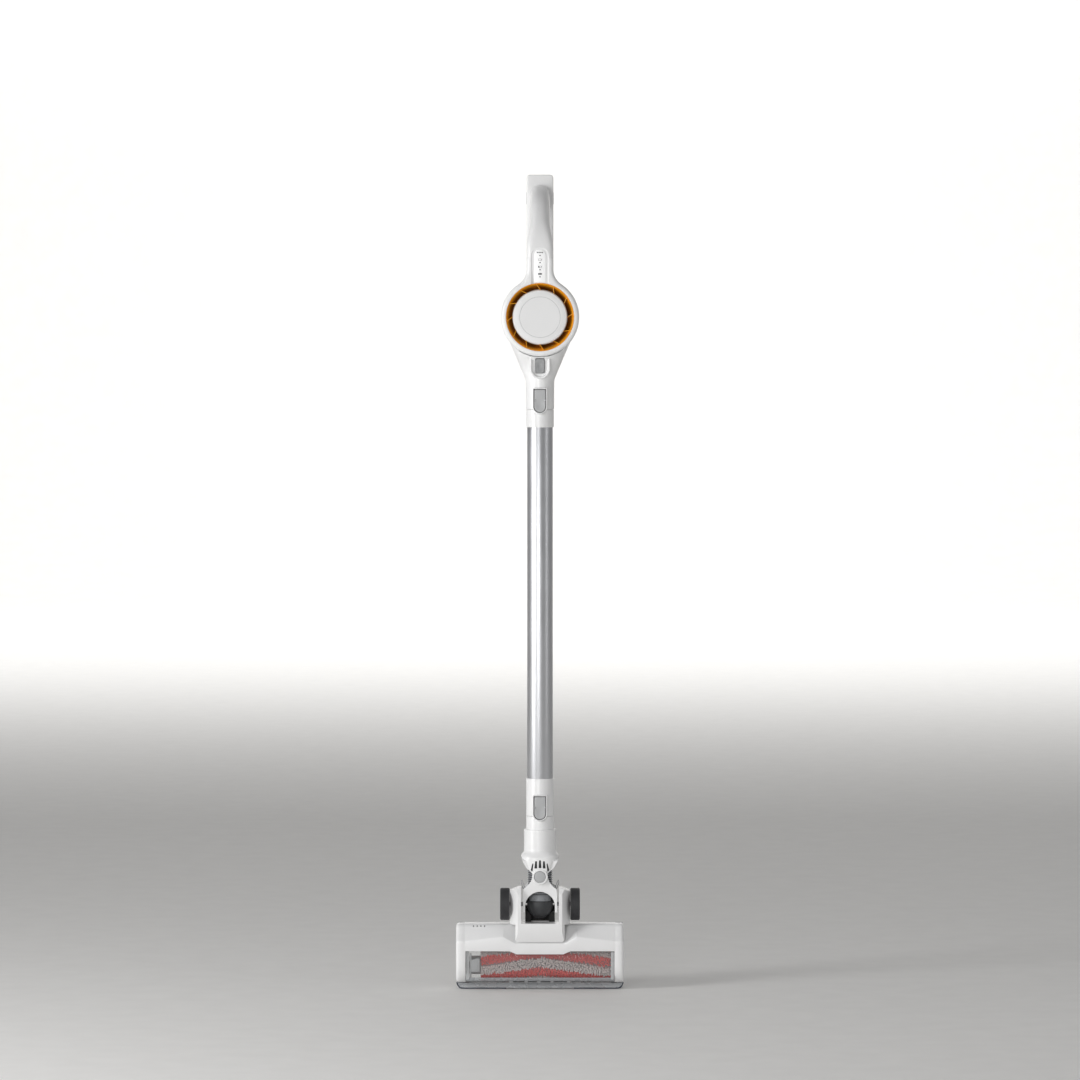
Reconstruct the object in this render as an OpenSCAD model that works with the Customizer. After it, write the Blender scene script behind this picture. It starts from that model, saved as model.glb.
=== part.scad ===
// Cordless stick vacuum: handheld unit, wand, swivelling neck and motorised floor head.
// The wand stands along +Z, the face with the exhaust and the brush window looks along -Y.

/* [Wand] */
// Outer diameter of the aluminium tube
tube_d = 35; // [31:0.5:42]
// Wall of the aluminium tube
tube_wall = 0.9; // [0.7:0.1:1.2]
// Length of tube that shows between its two connectors
tube_shown = 478; // [390:1:580]
// Length of tube held inside each connector
tube_grip = 16; // [12:1:18]

/* [Couplings] */
// Depth that a spigot enters its socket
spigot_len = 44; // [40:1:52]
// Wall of every spigot
spigot_wall = 2.2; // [1.8:0.1:2.6]
// Length of the collar at the top of the wand
top_collar_len = 24.5; // [20:0.5:30]
// Length of the collar on the head's neck
neck_collar_len = 18.5; // [16:0.5:24]
// Length of the socket sleeve at the foot of the wand
sleeve_len = 51; // [49:0.5:60]
// Width of a release rocker
rocker_w = 16.4; // [14:0.2:18]
// Length of a release rocker
rocker_len = 31.6; // [28:0.2:34]
// Angle that a release rocker turns
rocker_swing = 9; // [6:1:10]

/* [Round body] */
// Diameter of the round motor housing
body_d = 106; // [100:1:128]
// Depth of the motor housing, in front of the cup
housing_depth = 39; // [36:1:46]
// Diameter of the white cap in the middle of the exhaust
cap_d = 73; // [66:1:78]
// Width of the exhaust ring round the cap
exhaust_gap = 9.3; // [7:0.1:10]
// Number of guide vanes in the exhaust
vane_count = 12; // [8:1:16]
// Length of the dust cup along its axis
cup_len = 126; // [110:1:150]
// Wall of the dust cup
cup_wall = 2; // [1.6:0.1:2.4]

/* [Handle] */
// Width of the handle at its root and of the battery
handle_w = 36.4; // [35:0.2:42]
// Width of the grip where the hand closes round it
grip_w = 27.4; // [24:0.2:32]
// Thickness of the grip
grip_t = 30; // [26:0.5:34]
// Height of the whole handle above the centre of the round body
handle_rise = 194; // [192:1:225]
// Travel of the trigger
trigger_travel = 4; // [2:0.5:4.5]

/* [Floor head] */
// Width across the side arms
head_w = 229; // [200:1:275]
// Distance from the front edge to the tilt pivot
head_reach = 116; // [114:1:130]
// Diameter of the rear wheels
wheel_d = 44; // [43:0.5:50]
// Width of a rear wheel
wheel_w = 13; // [10:0.5:16]
// Diameter over the bristles of the brush roller
roller_d = 40; // [34:0.5:42]
// Diameter of the roller's core
core_d = 25; // [20:0.5:27]
// Width of each side arm
arm_w = 13.3; // [11:0.1:16]
// Teeth on the roller's belt pulley
roller_teeth = 24; // [20:1:26]
// Teeth on the brush motor's belt pulley
motor_teeth = 16; // [12:1:18]

/* [Walls and clearances] */
// Wall of the moulded casings
wall = 2.4; // [2:0.1:2.8]
// Gap between pieces that are screwed or clipped together
fit = 0.1; // [0.05:0.05:0.15]
// Gap between pieces that slide or turn on each other
slip = 0.3; // [0.2:0.05:0.4]

/* [Hidden] */
$fn = 96;
e = 0.01;

// ---- wand and couplings
tube_r = tube_d / 2;
bore_r = tube_r - tube_wall;
spigot_r = bore_r - slip;
duct_r = spigot_r - spigot_wall;
socket_r = spigot_r + 0.2;
sleeve_r = tube_r + 1;
collar_r = tube_r + 1.4;
neck_r = tube_r + 1.7;
ring_r = tube_r + 4.4;

// ---- heights, from the front edge of the head upwards
pivot_z = head_reach;
swivel_z = pivot_z + 39.3;
ring_z = swivel_z + 31.7;
ring_len = 31.7;
neck_collar_z = ring_z + ring_len;
low_seam_z = neck_collar_z + neck_collar_len;
sleeve_top_z = low_seam_z + sleeve_len;
top_collar_z = sleeve_top_z + tube_shown;
top_seam_z = top_collar_z + top_collar_len;
neck_top_z = top_seam_z + 40;
body_r = body_d / 2;
body_z = neck_top_z + 32 + body_r;
handle_top_z = body_z + handle_rise;

// ---- depths, from the wand's axis; the exhaust side is negative
housing_back_y = -17;
front_y = housing_back_y - housing_depth;
split_y = housing_back_y - 14;
cup_top_y = housing_back_y + slip;
cup_end_y = cup_top_y + cup_len;
lid_t = 3.6;
back_y = cup_end_y + lid_t + 2;
axis_y = -(front_y - 1 + back_y) / 2;

// ---- exhaust
cap_r = cap_d / 2;
grille_r = cap_r + exhaust_gap;
hub_r = cap_r - 2;

// ---- motor and cyclone
motor_r = 23.5;
shroud_r = 25;
cyclone_r = 28;
cyclone_end_y = cup_top_y + 0.7 * cup_len;
cup_r = body_r - 3;

// ---- release rocker, measured from the axis of its coupling
rocker_pivot_y = -(neck_r + 1.1);
rocker_front_y = -(neck_r + 3.7);
rocker_back_y = -(spigot_r + rocker_len * 0.5 * sin(rocker_swing) + 0.7);
rocker_pin_r = 1.4;
rocker_top = 14.6;
rocker_bottom = rocker_top - rocker_len;
frame_rim = 1.6;
tooth_w = 6.4;
tongue_drop = 6.2;
pivot_rise = 12.7;
top_rocker_z = top_seam_z + pivot_rise;
low_rocker_z = low_seam_z + pivot_rise;

// ---- handle
root_y = front_y + 17;
grip_path = [
    [root_y, body_z + 32], [root_y, body_z + 59], [root_y, body_z + 92], [root_y + 7, body_z + 112],
    [root_y + 20, body_z + 130.5], [-3, body_z + 146], [16, body_z + 157.5], [38, body_z + handle_rise - 28]];
grip_half = [16, 16, 16, grip_t / 2 + 0.4, grip_t / 2, grip_t / 2, grip_t / 2, grip_t / 2];
holder_y = 34;
holder_t = 13;
rail_x = 11.9;
holder_z = body_z + body_r + 1;
battery_y = holder_y + holder_t + slip;
latch_z = handle_top_z - 32;
cell_r = 9.2;
cell_len = 65;
cell_x = handle_w / 2 - 1.5 - cell_r - 0.1;
cell_step = 2 * sqrt(4 * pow(cell_r, 2) - 4 * pow(cell_x, 2)) + 0.2;
battery_t = cell_step + 2 * cell_r + 7.2;
battery_z = handle_top_z - 2 * cell_len - 6.5;
panel_w = 15.4;
panel_z = body_z + 47;
panel_len = 44;
panel_face_y = grip_path[1][0] - grip_half[1];
trigger_z = body_z + 84;

// ---- floor head
wheel_r = wheel_d / 2;
floor_y = wheel_r;
sole_y = floor_y - 1.5;
sole_t = 2.6;
roller_r = roller_d / 2;
core_r = core_d / 2;
roller_y = floor_y - roller_r;
roller_z = roller_r + 12.5;
roller_gap = 1.6;
window_t = 2;
window_y = roller_y - roller_r - roller_gap - window_t;
cover_y = window_y - 1;
mouth_z = roller_z + roller_r + roller_gap;
window_w = head_w - 2 * arm_w;
roller_half = window_w / 2 - 5;
slot_half = 25.7;
yoke_half = 23.2;
yoke_arm_t = 2.6;
hood_half = 40.7;
hood_top_y = -28;
hood_front_z = pivot_z - 50.4;
hood_back_z = pivot_z + 24;
slot_z = pivot_z - 24.3;
cover_back_z = pivot_z - 26.5;
wheel_x = hood_half + 0.6;
ball_r = 19.2;
pulley_pitch = 2.2;
roller_pulley_r = roller_teeth * pulley_pitch / (2 * PI);
motor_pulley_r = motor_teeth * pulley_pitch / (2 * PI);
belt_x = roller_half + 1.2;
belt_w = 5;
belt_t = 1.1;
brush_motor_r = 10.5;
brush_motor_y = sole_y - sole_t - brush_motor_r - 1;
brush_motor_z = (mouth_z + window_t + wall + cover_back_z - wall) / 2;
hose_r = tube_r + 0.2;
plate_y = hose_r + 1.2;
plate_t = 2.4;
tongue_t = 4;

// ---- helpers
function arc(c, r, a0, a1, n = 8) =
    [for (i = [0:n]) c + r * [cos(a0 + (a1 - a0) * i / n), sin(a0 + (a1 - a0) * i / n)]];
function round_box(w, h, r, n = 6) = concat(
    arc([w / 2 - r, h / 2 - r], r, 0, 90, n), arc([r - w / 2, h / 2 - r], r, 90, 180, n),
    arc([r - w / 2, r - h / 2], r, 180, 270, n), arc([w / 2 - r, r - h / 2], r, 270, 360, n));
function both_sides(pts) =
    concat(pts, [for (i = [len(pts) - 1:-1:0]) [-pts[i][0], pts[i][1]]]);
function unit(v) = v / norm(v);
function path_normal(p, i) =
    let (d = unit(p[min(i + 1, len(p) - 1)] - p[max(i - 1, 0)])) [-d[1], d[0]];
// Outline between two offsets of the grip's centre line, each a share of its half thickness plus a length
function grip_band(share0, add0, share1, add1) = concat(
    [for (i = [0:len(grip_path) - 1])
        grip_path[i] + path_normal(grip_path, i) * (share0 * grip_half[i] + add0)],
    [for (i = [len(grip_path) - 1:-1:0])
        grip_path[i] + path_normal(grip_path, i) * (share1 * grip_half[i] + add1)]);
// Flat-topped outline with a half-round foot, as the release rockers and the cup button have
function shield(w, top, bottom, n = 12) =
    concat([[w / 2, top], [-w / 2, top]], arc([0, bottom + w / 2], w / 2, 180, 360, n));

module along_x(x0, x1) translate([x0, 0, 0]) rotate([90, 0, 90]) linear_extrude(x1 - x0) children();
module along_y(y0, y1) translate([0, y1, 0]) rotate([90, 0, 0]) linear_extrude(y1 - y0) children();
module rod_x(r, x0, x1) translate([x0, 0, 0]) rotate([0, 90, 0]) cylinder(r = r, h = x1 - x0);
module rod_y(r, y0, y1) translate([0, y0, 0]) rotate([-90, 0, 0]) cylinder(r = r, h = y1 - y0);
module rod_z(r, z0, z1) translate([0, 0, z0]) cylinder(r = r, h = z1 - z0);
module turn_y() rotate([-90, 0, 0]) rotate_extrude() children();
module turn_x() rotate([0, 90, 0]) rotate_extrude() children();
module pipe_x(r, r_in, x0, x1) difference() {
    rod_x(r, x0, x1);
    rod_x(r_in, x0 - 1, x1 + 1);
}
module pipe_y(r, r_in, y0, y1) difference() {
    rod_y(r, y0, y1);
    rod_y(r_in, y0 - 1, y1 + 1);
}
module pipe_z(r, r_in, z0, z1) difference() {
    rod_z(r, z0, z1);
    rod_z(r_in, z0 - 1, z1 + 1);
}
module block(x0, x1, y0, y1, z0, z1) translate([x0, y0, z0]) cube([x1 - x0, y1 - y0, z1 - z0]);
module at_body() translate([0, 0, body_z]) children();
module at_pivot() translate([0, 0, pivot_z]) children();
module at_roller() translate([0, roller_y, roller_z]) children();

// ---- handheld unit: casings
// Outline of the handle seen from the exhaust side, taken in by an inset
function handle_front(inset) = both_sides([
    [36 - inset, body_z + 34], [27 - inset, body_z + 46], [21 - inset, body_z + 52],
    [handle_w / 2 - inset, body_z + 59], [handle_w / 2 - inset, body_z + 104],
    [grip_w / 2 + 1.2 - inset, body_z + 118], [grip_w / 2 - inset, body_z + 129],
    [grip_w / 2 - inset, handle_top_z]]);
module handle_solid(share0, add0, share1, add1, inset) intersection() {
    along_x(-60, 60) polygon(grip_band(share0, add0, share1, add1));
    along_y(-90, holder_y - fit - inset) polygon(handle_front(inset));
}
module panel_outline(w, z0, z1) polygon(concat([[-w / 2, z0], [w / 2, z0]], arc([0, z1 - w / 2], w / 2, 0, 180, 12)));
module body_front_shell() color("whitesmoke") {
    for (s = [-1, 1]) block(s * 5 - 1, s * 5 + 1, panel_face_y + 2.2, panel_face_y + 4.8, body_z + 62, body_z + 66);
    front_casing();
}
module front_casing() difference() {
    union() {
        at_body() turn_y() polygon(concat(
            [[body_r, split_y], [body_r, front_y + 6]], arc([body_r - 5, front_y + 5], 5, 0, -90, 8),
            [[grille_r + slip, front_y], [grille_r + slip, front_y + 4], [body_r - wall, front_y + 8],
             [body_r - wall, split_y]]));
        difference() {
            handle_solid(0, 0, 1, 0, 0);
            at_body() rod_y(body_r - e, front_y, split_y + 40);
        }
    }
    difference() {
        handle_solid(0, -1, 1, -wall, wall);
        at_body() rod_y(body_r + 1, front_y - 1, split_y + 40);
    }
    along_y(panel_face_y - 1, panel_face_y + 0.8) panel_outline(panel_w + 8.6, body_z + 40, panel_z + panel_len + 4.3);
    along_y(panel_face_y - 1, panel_face_y + 2.1) panel_outline(panel_w + 2 * fit, panel_z - fit, panel_z + panel_len + fit);
}
module body_rear_shell() color("whitesmoke") {
    for (s = [-1, 1]) block(min(s * 3.4, s * 16.2), max(s * 3.4, s * 16.2), root_y + 1.5, root_y + 4.5, trigger_z - 2, trigger_z + 2);
    rear_casing();
}
module rear_casing() difference() {
    union() {
        at_body() difference() {
            rod_y(body_r, split_y + fit, housing_back_y);
            rod_y(body_r - wall, split_y, housing_back_y - wall);
            rod_y(shroud_r + fit, split_y, housing_back_y + 1);
        }
        difference() {
            handle_solid(-1, 0, 0, -fit, 0);
            at_body() rod_y(body_r - e, front_y, 40);
            at_body() rod_y(body_r + fit, front_y - 1, split_y + fit);
        }
    }
    difference() {
        handle_solid(-1, wall, 0, 1, wall);
        at_body() rod_y(body_r + 1, front_y, 40);
    }
    block(-5.8, 5.8, root_y + 11, root_y + 31, trigger_z - 13.5, trigger_z + 13.5);
}
module display_panel() color("white")
    along_y(panel_face_y + 0.4, panel_face_y + 2) difference() {
        panel_outline(panel_w, panel_z, panel_z + panel_len);
        for (i = [0:3]) translate([0, panel_z + 7.3 + 9.6 * i]) circle(r = 0.9, $fn = 24);
    }
module display_leds() color("dimgray")
    for (i = [0:3]) translate([0, 0, panel_z + 7.3 + 9.6 * i]) rod_y(0.8, panel_face_y + 0.5, panel_face_y + 2, $fn = 24);

// ---- handheld unit: exhaust, motor and board
module vane() translate([hub_r - 0.8, 0, 0]) rotate([0, 24, 0])
    block(0, grille_r - hub_r - 1.8, front_y + 4.5, front_y + 9, -0.6, 0.6);
module exhaust_grille() color("orange") at_body() {
    turn_y() polygon([
        [grille_r, front_y + 0.6], [grille_r, front_y + 3.4], [grille_r - 2, front_y + 5.4],
        [grille_r - 3, front_y + 10], [grille_r - 4.6, front_y + 10], [grille_r - 4, front_y + 6],
        [grille_r - 1.6, front_y + 0.6]]);
    pipe_y(hub_r, hub_r - 1.6, front_y + 3, front_y + 9);
    for (i = [0:vane_count - 1]) rotate([0, 360 / vane_count * i, 0]) vane();
}
module exhaust_cap() color("white") at_body() difference() {
    turn_y() polygon(concat(
        [[0, front_y - 1], [cap_r - 2, front_y - 0.4]], arc([cap_r - 1.6, front_y + 1.2], 1.6, -60, 0, 4),
        [[cap_r, front_y + 2.6], [hub_r - 1.7, front_y + 2.9], [hub_r - 1.7, front_y + 6],
         [hub_r - 3.2, front_y + 6], [hub_r - 3.2, front_y + 2.6], [0, front_y + 2.6]]));
    pipe_y(cap_r * 0.76, cap_r * 0.74, front_y - 2, front_y - 0.3);
}
module exhaust_filter() color("gainsboro") at_body()
    pipe_y(hub_r + 6, motor_r + 0.3, front_y + 10.6, split_y - 4);
module main_motor() color("silver") at_body() {
    difference() {
        union() {
            rod_y(motor_r, front_y + 12, housing_back_y - 4);
            rod_y(6, front_y + 9, front_y + 12);
            rod_y(2.5, housing_back_y - 4.1, housing_back_y + 11);
        }
        for (i = [0:7]) rotate([0, 45 * i, 0]) translate([motor_r - 6, 0, 0])
            rod_y(3, front_y + 14, housing_back_y - 6);
    }
}
module impeller_shroud() color("dimgray") at_body() difference() {
    rod_y(shroud_r, housing_back_y - 3.8, housing_back_y + 16);
    rod_y(shroud_r - 1.8, housing_back_y - 5, housing_back_y + 14.2);
    rod_y(11, housing_back_y, housing_back_y + 20);
}
module impeller() color("lightgray") at_body() difference() {
    union() {
        rod_y(shroud_r - 3.2, housing_back_y - 2.6, housing_back_y - 0.8);
        rod_y(5, housing_back_y - 1, housing_back_y + 12);
        for (i = [0:8]) rotate([0, 40 * i, 0])
            block(4.5, shroud_r - 3.6, housing_back_y - 1, housing_back_y + 9, -0.6, 0.6);
    }
    rod_y(2.55, housing_back_y - 5, housing_back_y + 20);
}
module control_board() color("darkgreen")
    block(-6.5, 6.5, panel_face_y + 5, panel_face_y + 6.6, body_z + body_r + 4, body_z + 86);

// ---- handheld unit: handle inserts, trigger and battery
module battery_holder() color("whitesmoke") difference() {
    union() {
        block(-handle_w / 2, handle_w / 2, holder_y, holder_y + holder_t, holder_z, handle_top_z);
        for (s = [-1, 1])
            block(s * rail_x - 1.9, s * rail_x + 1.9, holder_y + holder_t - e, holder_y + holder_t + 4, battery_z + 8, latch_z - 9);
    }
    block(-handle_w / 2 + wall, handle_w / 2 - wall, holder_y + wall, holder_y + holder_t - wall, holder_z + wall, handle_top_z - 14);
    translate([0, holder_y + holder_t / 2, 0]) rod_z(2.8, handle_top_z - 9, handle_top_z + 1);
    for (s = [-1, 1]) {
        translate([s * handle_w / 2, holder_y + holder_t / 2, latch_z]) rotate([0, 90, 0])
            linear_extrude(8, center = true) polygon(round_box(16 + 2 * slip, 7 + 2 * slip, 2));
        block(s * rail_x - 3, s * rail_x + 3, holder_y + holder_t - wall - 1, holder_y + holder_t + 1, latch_z - 4, latch_z + 4);
    }
}
module battery_case() color("whitesmoke") difference() {
    block(-handle_w / 2, handle_w / 2, battery_y, battery_y + battery_t, battery_z, handle_top_z);
    block(-handle_w / 2 + 1.5, handle_w / 2 - 1.5, battery_y + 5.3, battery_y + battery_t - 1.5, battery_z + 1.5, handle_top_z - 1.5);
    for (s = [-1, 1])
        block(s * rail_x - 2.5, s * rail_x + 2.5, battery_y - 1, battery_y + 4, battery_z - 1, handle_top_z - 4);
}
module battery_cells() color("steelblue")
    for (k = [0, 1], j = [-1:1])
        translate([j == 0 ? -cell_x : cell_x, battery_y + 5.5 + cell_r + cell_step / 2 * (j + 1), 0])
            rod_z(cell_r - 0.15, battery_z + 2 + k * (cell_len + 0.5), battery_z + 2 + k * (cell_len + 0.5) + cell_len);
module battery_latch(s) color("darkgray") {
    translate([s * (handle_w / 2 - 1.6), holder_y + holder_t / 2, latch_z]) rotate([0, 90, 0])
        linear_extrude(4, center = true) polygon(round_box(16, 7, 2));
    block(min(s * 11.2, s * 15), max(s * 11.2, s * 15), holder_y + 4, holder_y + 9, latch_z - 3, latch_z + 3);
    block(min(s * 11.2, s * 13.6), max(s * 11.2, s * 13.6), holder_y + 4, holder_y + holder_t + 3.2, latch_z - 3, latch_z + 3);
}
module trigger() color("darkgray") translate([0, root_y, trigger_z]) difference() {
    along_x(-5.4, 5.4) polygon(concat(
        [[12.8, 12.8], [12.8, 14.5], [11, 14.5], [11, -15], [12.8, -15], [12.8, -12.8]],
        [for (t = [0:8]) [24.5 - 2.6 * sin(22.5 * t), 3.2 * t - 12.8]]));
    block(-3, 3, 10, 17.5, -4, 4);
}
module trigger_spring() color("silver")
    translate([0, root_y, trigger_z]) pipe_y(2.2, 1.5, 6.6, 17.3);
module trigger_switch() color("dimgray")
    block(-3.2, 3.2, root_y - 3, root_y + 6.4, trigger_z - 7, trigger_z + 7);

// ---- couplings that the neck and the foot of the wand share
// Raised frame and tongue round a rocker, whose pivot is pivot_rise above the seam
module rocker_frame(seam) difference() {
    along_y(-(neck_r + 4.2), -neck_r + 4) translate([0, seam + pivot_rise])
        polygon(shield(rocker_w + 2 * frame_rim + 0.6, rocker_top + frame_rim, rocker_bottom - frame_rim));
    block(-20, 20, -spigot_r - 0.5, 0, seam - 30, seam);
}
module rocker_window(seam) {
    along_y(-(neck_r + 6), -spigot_r + 2) translate([0, seam + pivot_rise])
        polygon(shield(rocker_w + 2 * slip, rocker_top + slip, rocker_bottom - slip));
    translate([0, rocker_pivot_y, seam + pivot_rise]) rod_x(rocker_pin_r + 0.05, -rocker_w / 2 - 1.5, rocker_w / 2 + 1.5);
}
module rocker(z) color("silver") translate([0, 0, z]) difference() {
    union() {
        along_y(rocker_front_y, rocker_back_y) polygon(shield(rocker_w, rocker_top, rocker_bottom));
        translate([0, rocker_pivot_y + 0.4, 0]) rod_x(2.5, -rocker_w / 2, rocker_w / 2);
        block(-tooth_w / 2, tooth_w / 2, rocker_back_y - e, -spigot_r + 1.2, rocker_top - 4.6, rocker_top - 1);
    }
    translate([0, rocker_pivot_y, 0]) rod_x(rocker_pin_r + 0.05, -20, 20);
    translate([0, rocker_front_y - 12.6, rocker_bottom + 8.6]) sphere(r = 13.6);
}
module rocker_pin(z) color("silver") translate([0, rocker_pivot_y, z])
    rod_x(rocker_pin_r, -rocker_w / 2 - 1.4, rocker_w / 2 + 1.4);
// Spigot and collar that enter a socket from below, seam is the height where the socket ends
module spigot(seam, collar_bottom, r_collar) difference() {
    union() {
        rod_z(spigot_r, collar_bottom, seam + spigot_len);
        rod_z(r_collar, collar_bottom, seam - slip);
    }
    rod_z(duct_r, collar_bottom - 1, seam + spigot_len + 1);
    block(-rocker_w / 2 - frame_rim - 0.6, rocker_w / 2 + frame_rim + 0.6, -40, -spigot_r, seam - tongue_drop - 0.4, seam + 1);
    block(-tooth_w / 2 - 0.5, tooth_w / 2 + 0.5, -40, -spigot_r + 1.5, seam + 20, seam + spigot_len + 1);
}

// ---- handheld unit: neck and cup release
module inlet_neck() color("whitesmoke") difference() {
    union() {
        rod_z(neck_r, top_seam_z, neck_top_z + 2);
        intersection() {
            along_y(-60, 60) polygon(both_sides([
                [neck_r, neck_top_z - 2], [neck_r, neck_top_z], [body_r * 0.75, body_z - body_r * 0.72], [body_r * 0.75, body_z]]));
            along_x(-60, 60) polygon([
                [-neck_r, neck_top_z - 2], [-neck_r, neck_top_z], [front_y + 11, body_z - body_r + 8],
                [front_y + 11, body_z], [neck_r + 3, body_z], [neck_r + 3, neck_top_z + 26], [neck_r, neck_top_z], [neck_r, neck_top_z - 2]]);
        }
        rocker_frame(top_seam_z);
        along_y(-neck_r - 14, -neck_r + 4) polygon(shield(21.4, neck_top_z + 33, neck_top_z + 4.8));
    }
    rod_z(socket_r, top_seam_z - 10, top_seam_z + spigot_len + 1);
    rod_z(duct_r, top_seam_z, body_z);
    at_body() rod_y(body_r + slip, -80, housing_back_y + slip);
    at_body() rod_y(cup_r + slip, housing_back_y, 60);
    block(-6.2 - slip, 6.2 + slip, -60, -duct_r - 2.9, neck_top_z + 9.2 - slip, neck_top_z + 29.2 + slip);
    rocker_window(top_seam_z);
}
module cup_button() color("gray") difference() {
    along_y(-neck_r - 12.6, -neck_r - 4.5) translate([0, neck_top_z + 19.2]) polygon(round_box(12.4, 20, 2));
    translate([0, -neck_r - 12.6 - 7.2, neck_top_z + 18]) sphere(r = 8.4);
}
module cup_button_spring() color("silver")
    translate([0, 0, neck_top_z + 19.2]) pipe_y(3, 2.2, -neck_r - 4.4, -duct_r - 3);

// ---- dust cup, cyclone and lid
lug_z = -(cup_r + 4.6);
module dust_cup() color([0.75, 0.77, 0.8, 0.5]) at_body() difference() {
    union() {
        pipe_y(cup_r, cup_r - cup_wall, cup_top_y, cup_end_y);
        for (s = [-1, 1]) intersection() {
            along_x(s * 10 - 2, s * 10 + 2) polygon(concat(
                arc([cup_end_y + 1.4, lug_z], 3.2, 90, -180, 12), [[cup_end_y - 14, -cup_r + 1], [cup_end_y - 4, -cup_r + 1]]));
            block(-20, 20, 0, cup_end_y + 6, -cup_r - 12, -cup_r + 3);
        }
        for (s = [-1, 1]) block(s * 6 - 1.4, s * 6 + 1.4, cup_end_y - 20, cup_end_y - 10, cup_r - 1.5, cup_r + 4.4);
    }
    rod_y(cup_r - cup_wall, cup_top_y - 1, cup_end_y + 1);
    rod_y(cup_r + 0.6, cup_end_y, cup_end_y + 10);
    translate([0, 0, -body_z]) rod_z(duct_r, body_z - cup_r - 5, body_z - cup_r + 12);
    translate([0, cup_end_y + 1.4, lug_z]) rod_x(1.55, -20, 20);
    translate([0, cup_end_y - 15, cup_r + 2.6]) rod_x(1.25, -20, 20);
}
module cyclone() color("darkgray") at_body() {
    difference() {
        union() {
            rod_y(cyclone_r, cup_top_y + 1, cyclone_end_y);
            rod_y(cup_r - cup_wall - fit, cup_top_y + 1, cup_top_y + 2.8);
            rod_y(cyclone_r + 7, cyclone_end_y - 2.4, cyclone_end_y);
        }
        rod_y(cyclone_r - 1.6, cup_top_y - 1, cyclone_end_y - 2);
    }
}
module pre_filter() color("white") at_body()
    pipe_y(cyclone_r - 1.9, 10, housing_back_y + 18, housing_back_y + 36);
module cup_lid() color([0.8, 0.8, 0.82]) at_body() {
    difference() {
        union() {
            rod_y(cup_r, cup_end_y + fit, cup_end_y + lid_t);
            along_x(-7.7, 7.7) polygon(concat(
                arc([cup_end_y + 1.4, lug_z], 2.6, 90, -90, 8), [[cup_end_y + fit, lug_z - 2.6], [cup_end_y + fit, -cup_r + 2], [cup_end_y + lid_t, -cup_r + 2]]));
            block(-6, 6, cup_end_y + fit, cup_end_y + lid_t, cup_r - 3, cup_r + 1.6);
        }
        translate([0, cup_end_y + 1.4, lug_z]) rod_x(1.55, -20, 20);
    }
}
module lid_seal() color("dimgray") at_body()
    pipe_y(cup_r - cup_wall - fit, cup_r - cup_wall - 2.4, cup_end_y - 2.2, cup_end_y);
module lid_hinge_pin() color("silver") at_body() translate([0, cup_end_y + 1.4, lug_z]) rod_x(1.5, -12.4, 12.4);
module lid_latch() color("gray") at_body() difference() {
    along_x(-4.3, 4.3) polygon([
        [cup_end_y - 21, cup_r + 3.4], [cup_end_y - 15, cup_r + 0.5], [cup_end_y - 12, cup_r + 0.5],
        [cup_end_y - 10, cup_r + 2.2], [cup_end_y + lid_t + 0.4, cup_r + 2.2], [cup_end_y + lid_t + 0.4, cup_r + 1.8],
        [cup_end_y + lid_t + 2, cup_r + 2.4], [cup_end_y + lid_t + 2, cup_r + 5], [cup_end_y - 20, cup_r + 6]]);
    translate([0, cup_end_y - 15, cup_r + 2.6]) rod_x(1.25, -20, 20);
}

// ---- wand
module wand_top_connector() color("whitesmoke") difference() {
    spigot(top_seam_z, top_collar_z, collar_r);
    pipe_z(tube_r + fit / 2, bore_r - fit / 2, top_collar_z - 1, top_collar_z + tube_grip);
    rod_z(bore_r - fit / 2 - 1.2, top_collar_z - 1, top_collar_z + tube_grip);
}
module wand_tube() color("silver") pipe_z(tube_r, bore_r, sleeve_top_z - tube_grip + 0.4, top_collar_z + tube_grip - 0.4);
module wand_conductors() color("dimgray") for (s = [-1, 1])
    translate([s * 4, sqrt(pow(bore_r - 1.25, 2) - 16), 0]) rod_z(0.9, low_seam_z + spigot_len + 2, top_collar_z - 0.4);
module wand_bottom_connector() color("whitesmoke") difference() {
    union() {
        rod_z(sleeve_r + 0.2, low_seam_z, sleeve_top_z);
        rocker_frame(low_seam_z);
    }
    rod_z(socket_r, low_seam_z - 10, sleeve_top_z + 1);
    rod_z(tube_r + fit / 2, sleeve_top_z - tube_grip, sleeve_top_z + 1);
    rocker_window(low_seam_z);
}

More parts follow.
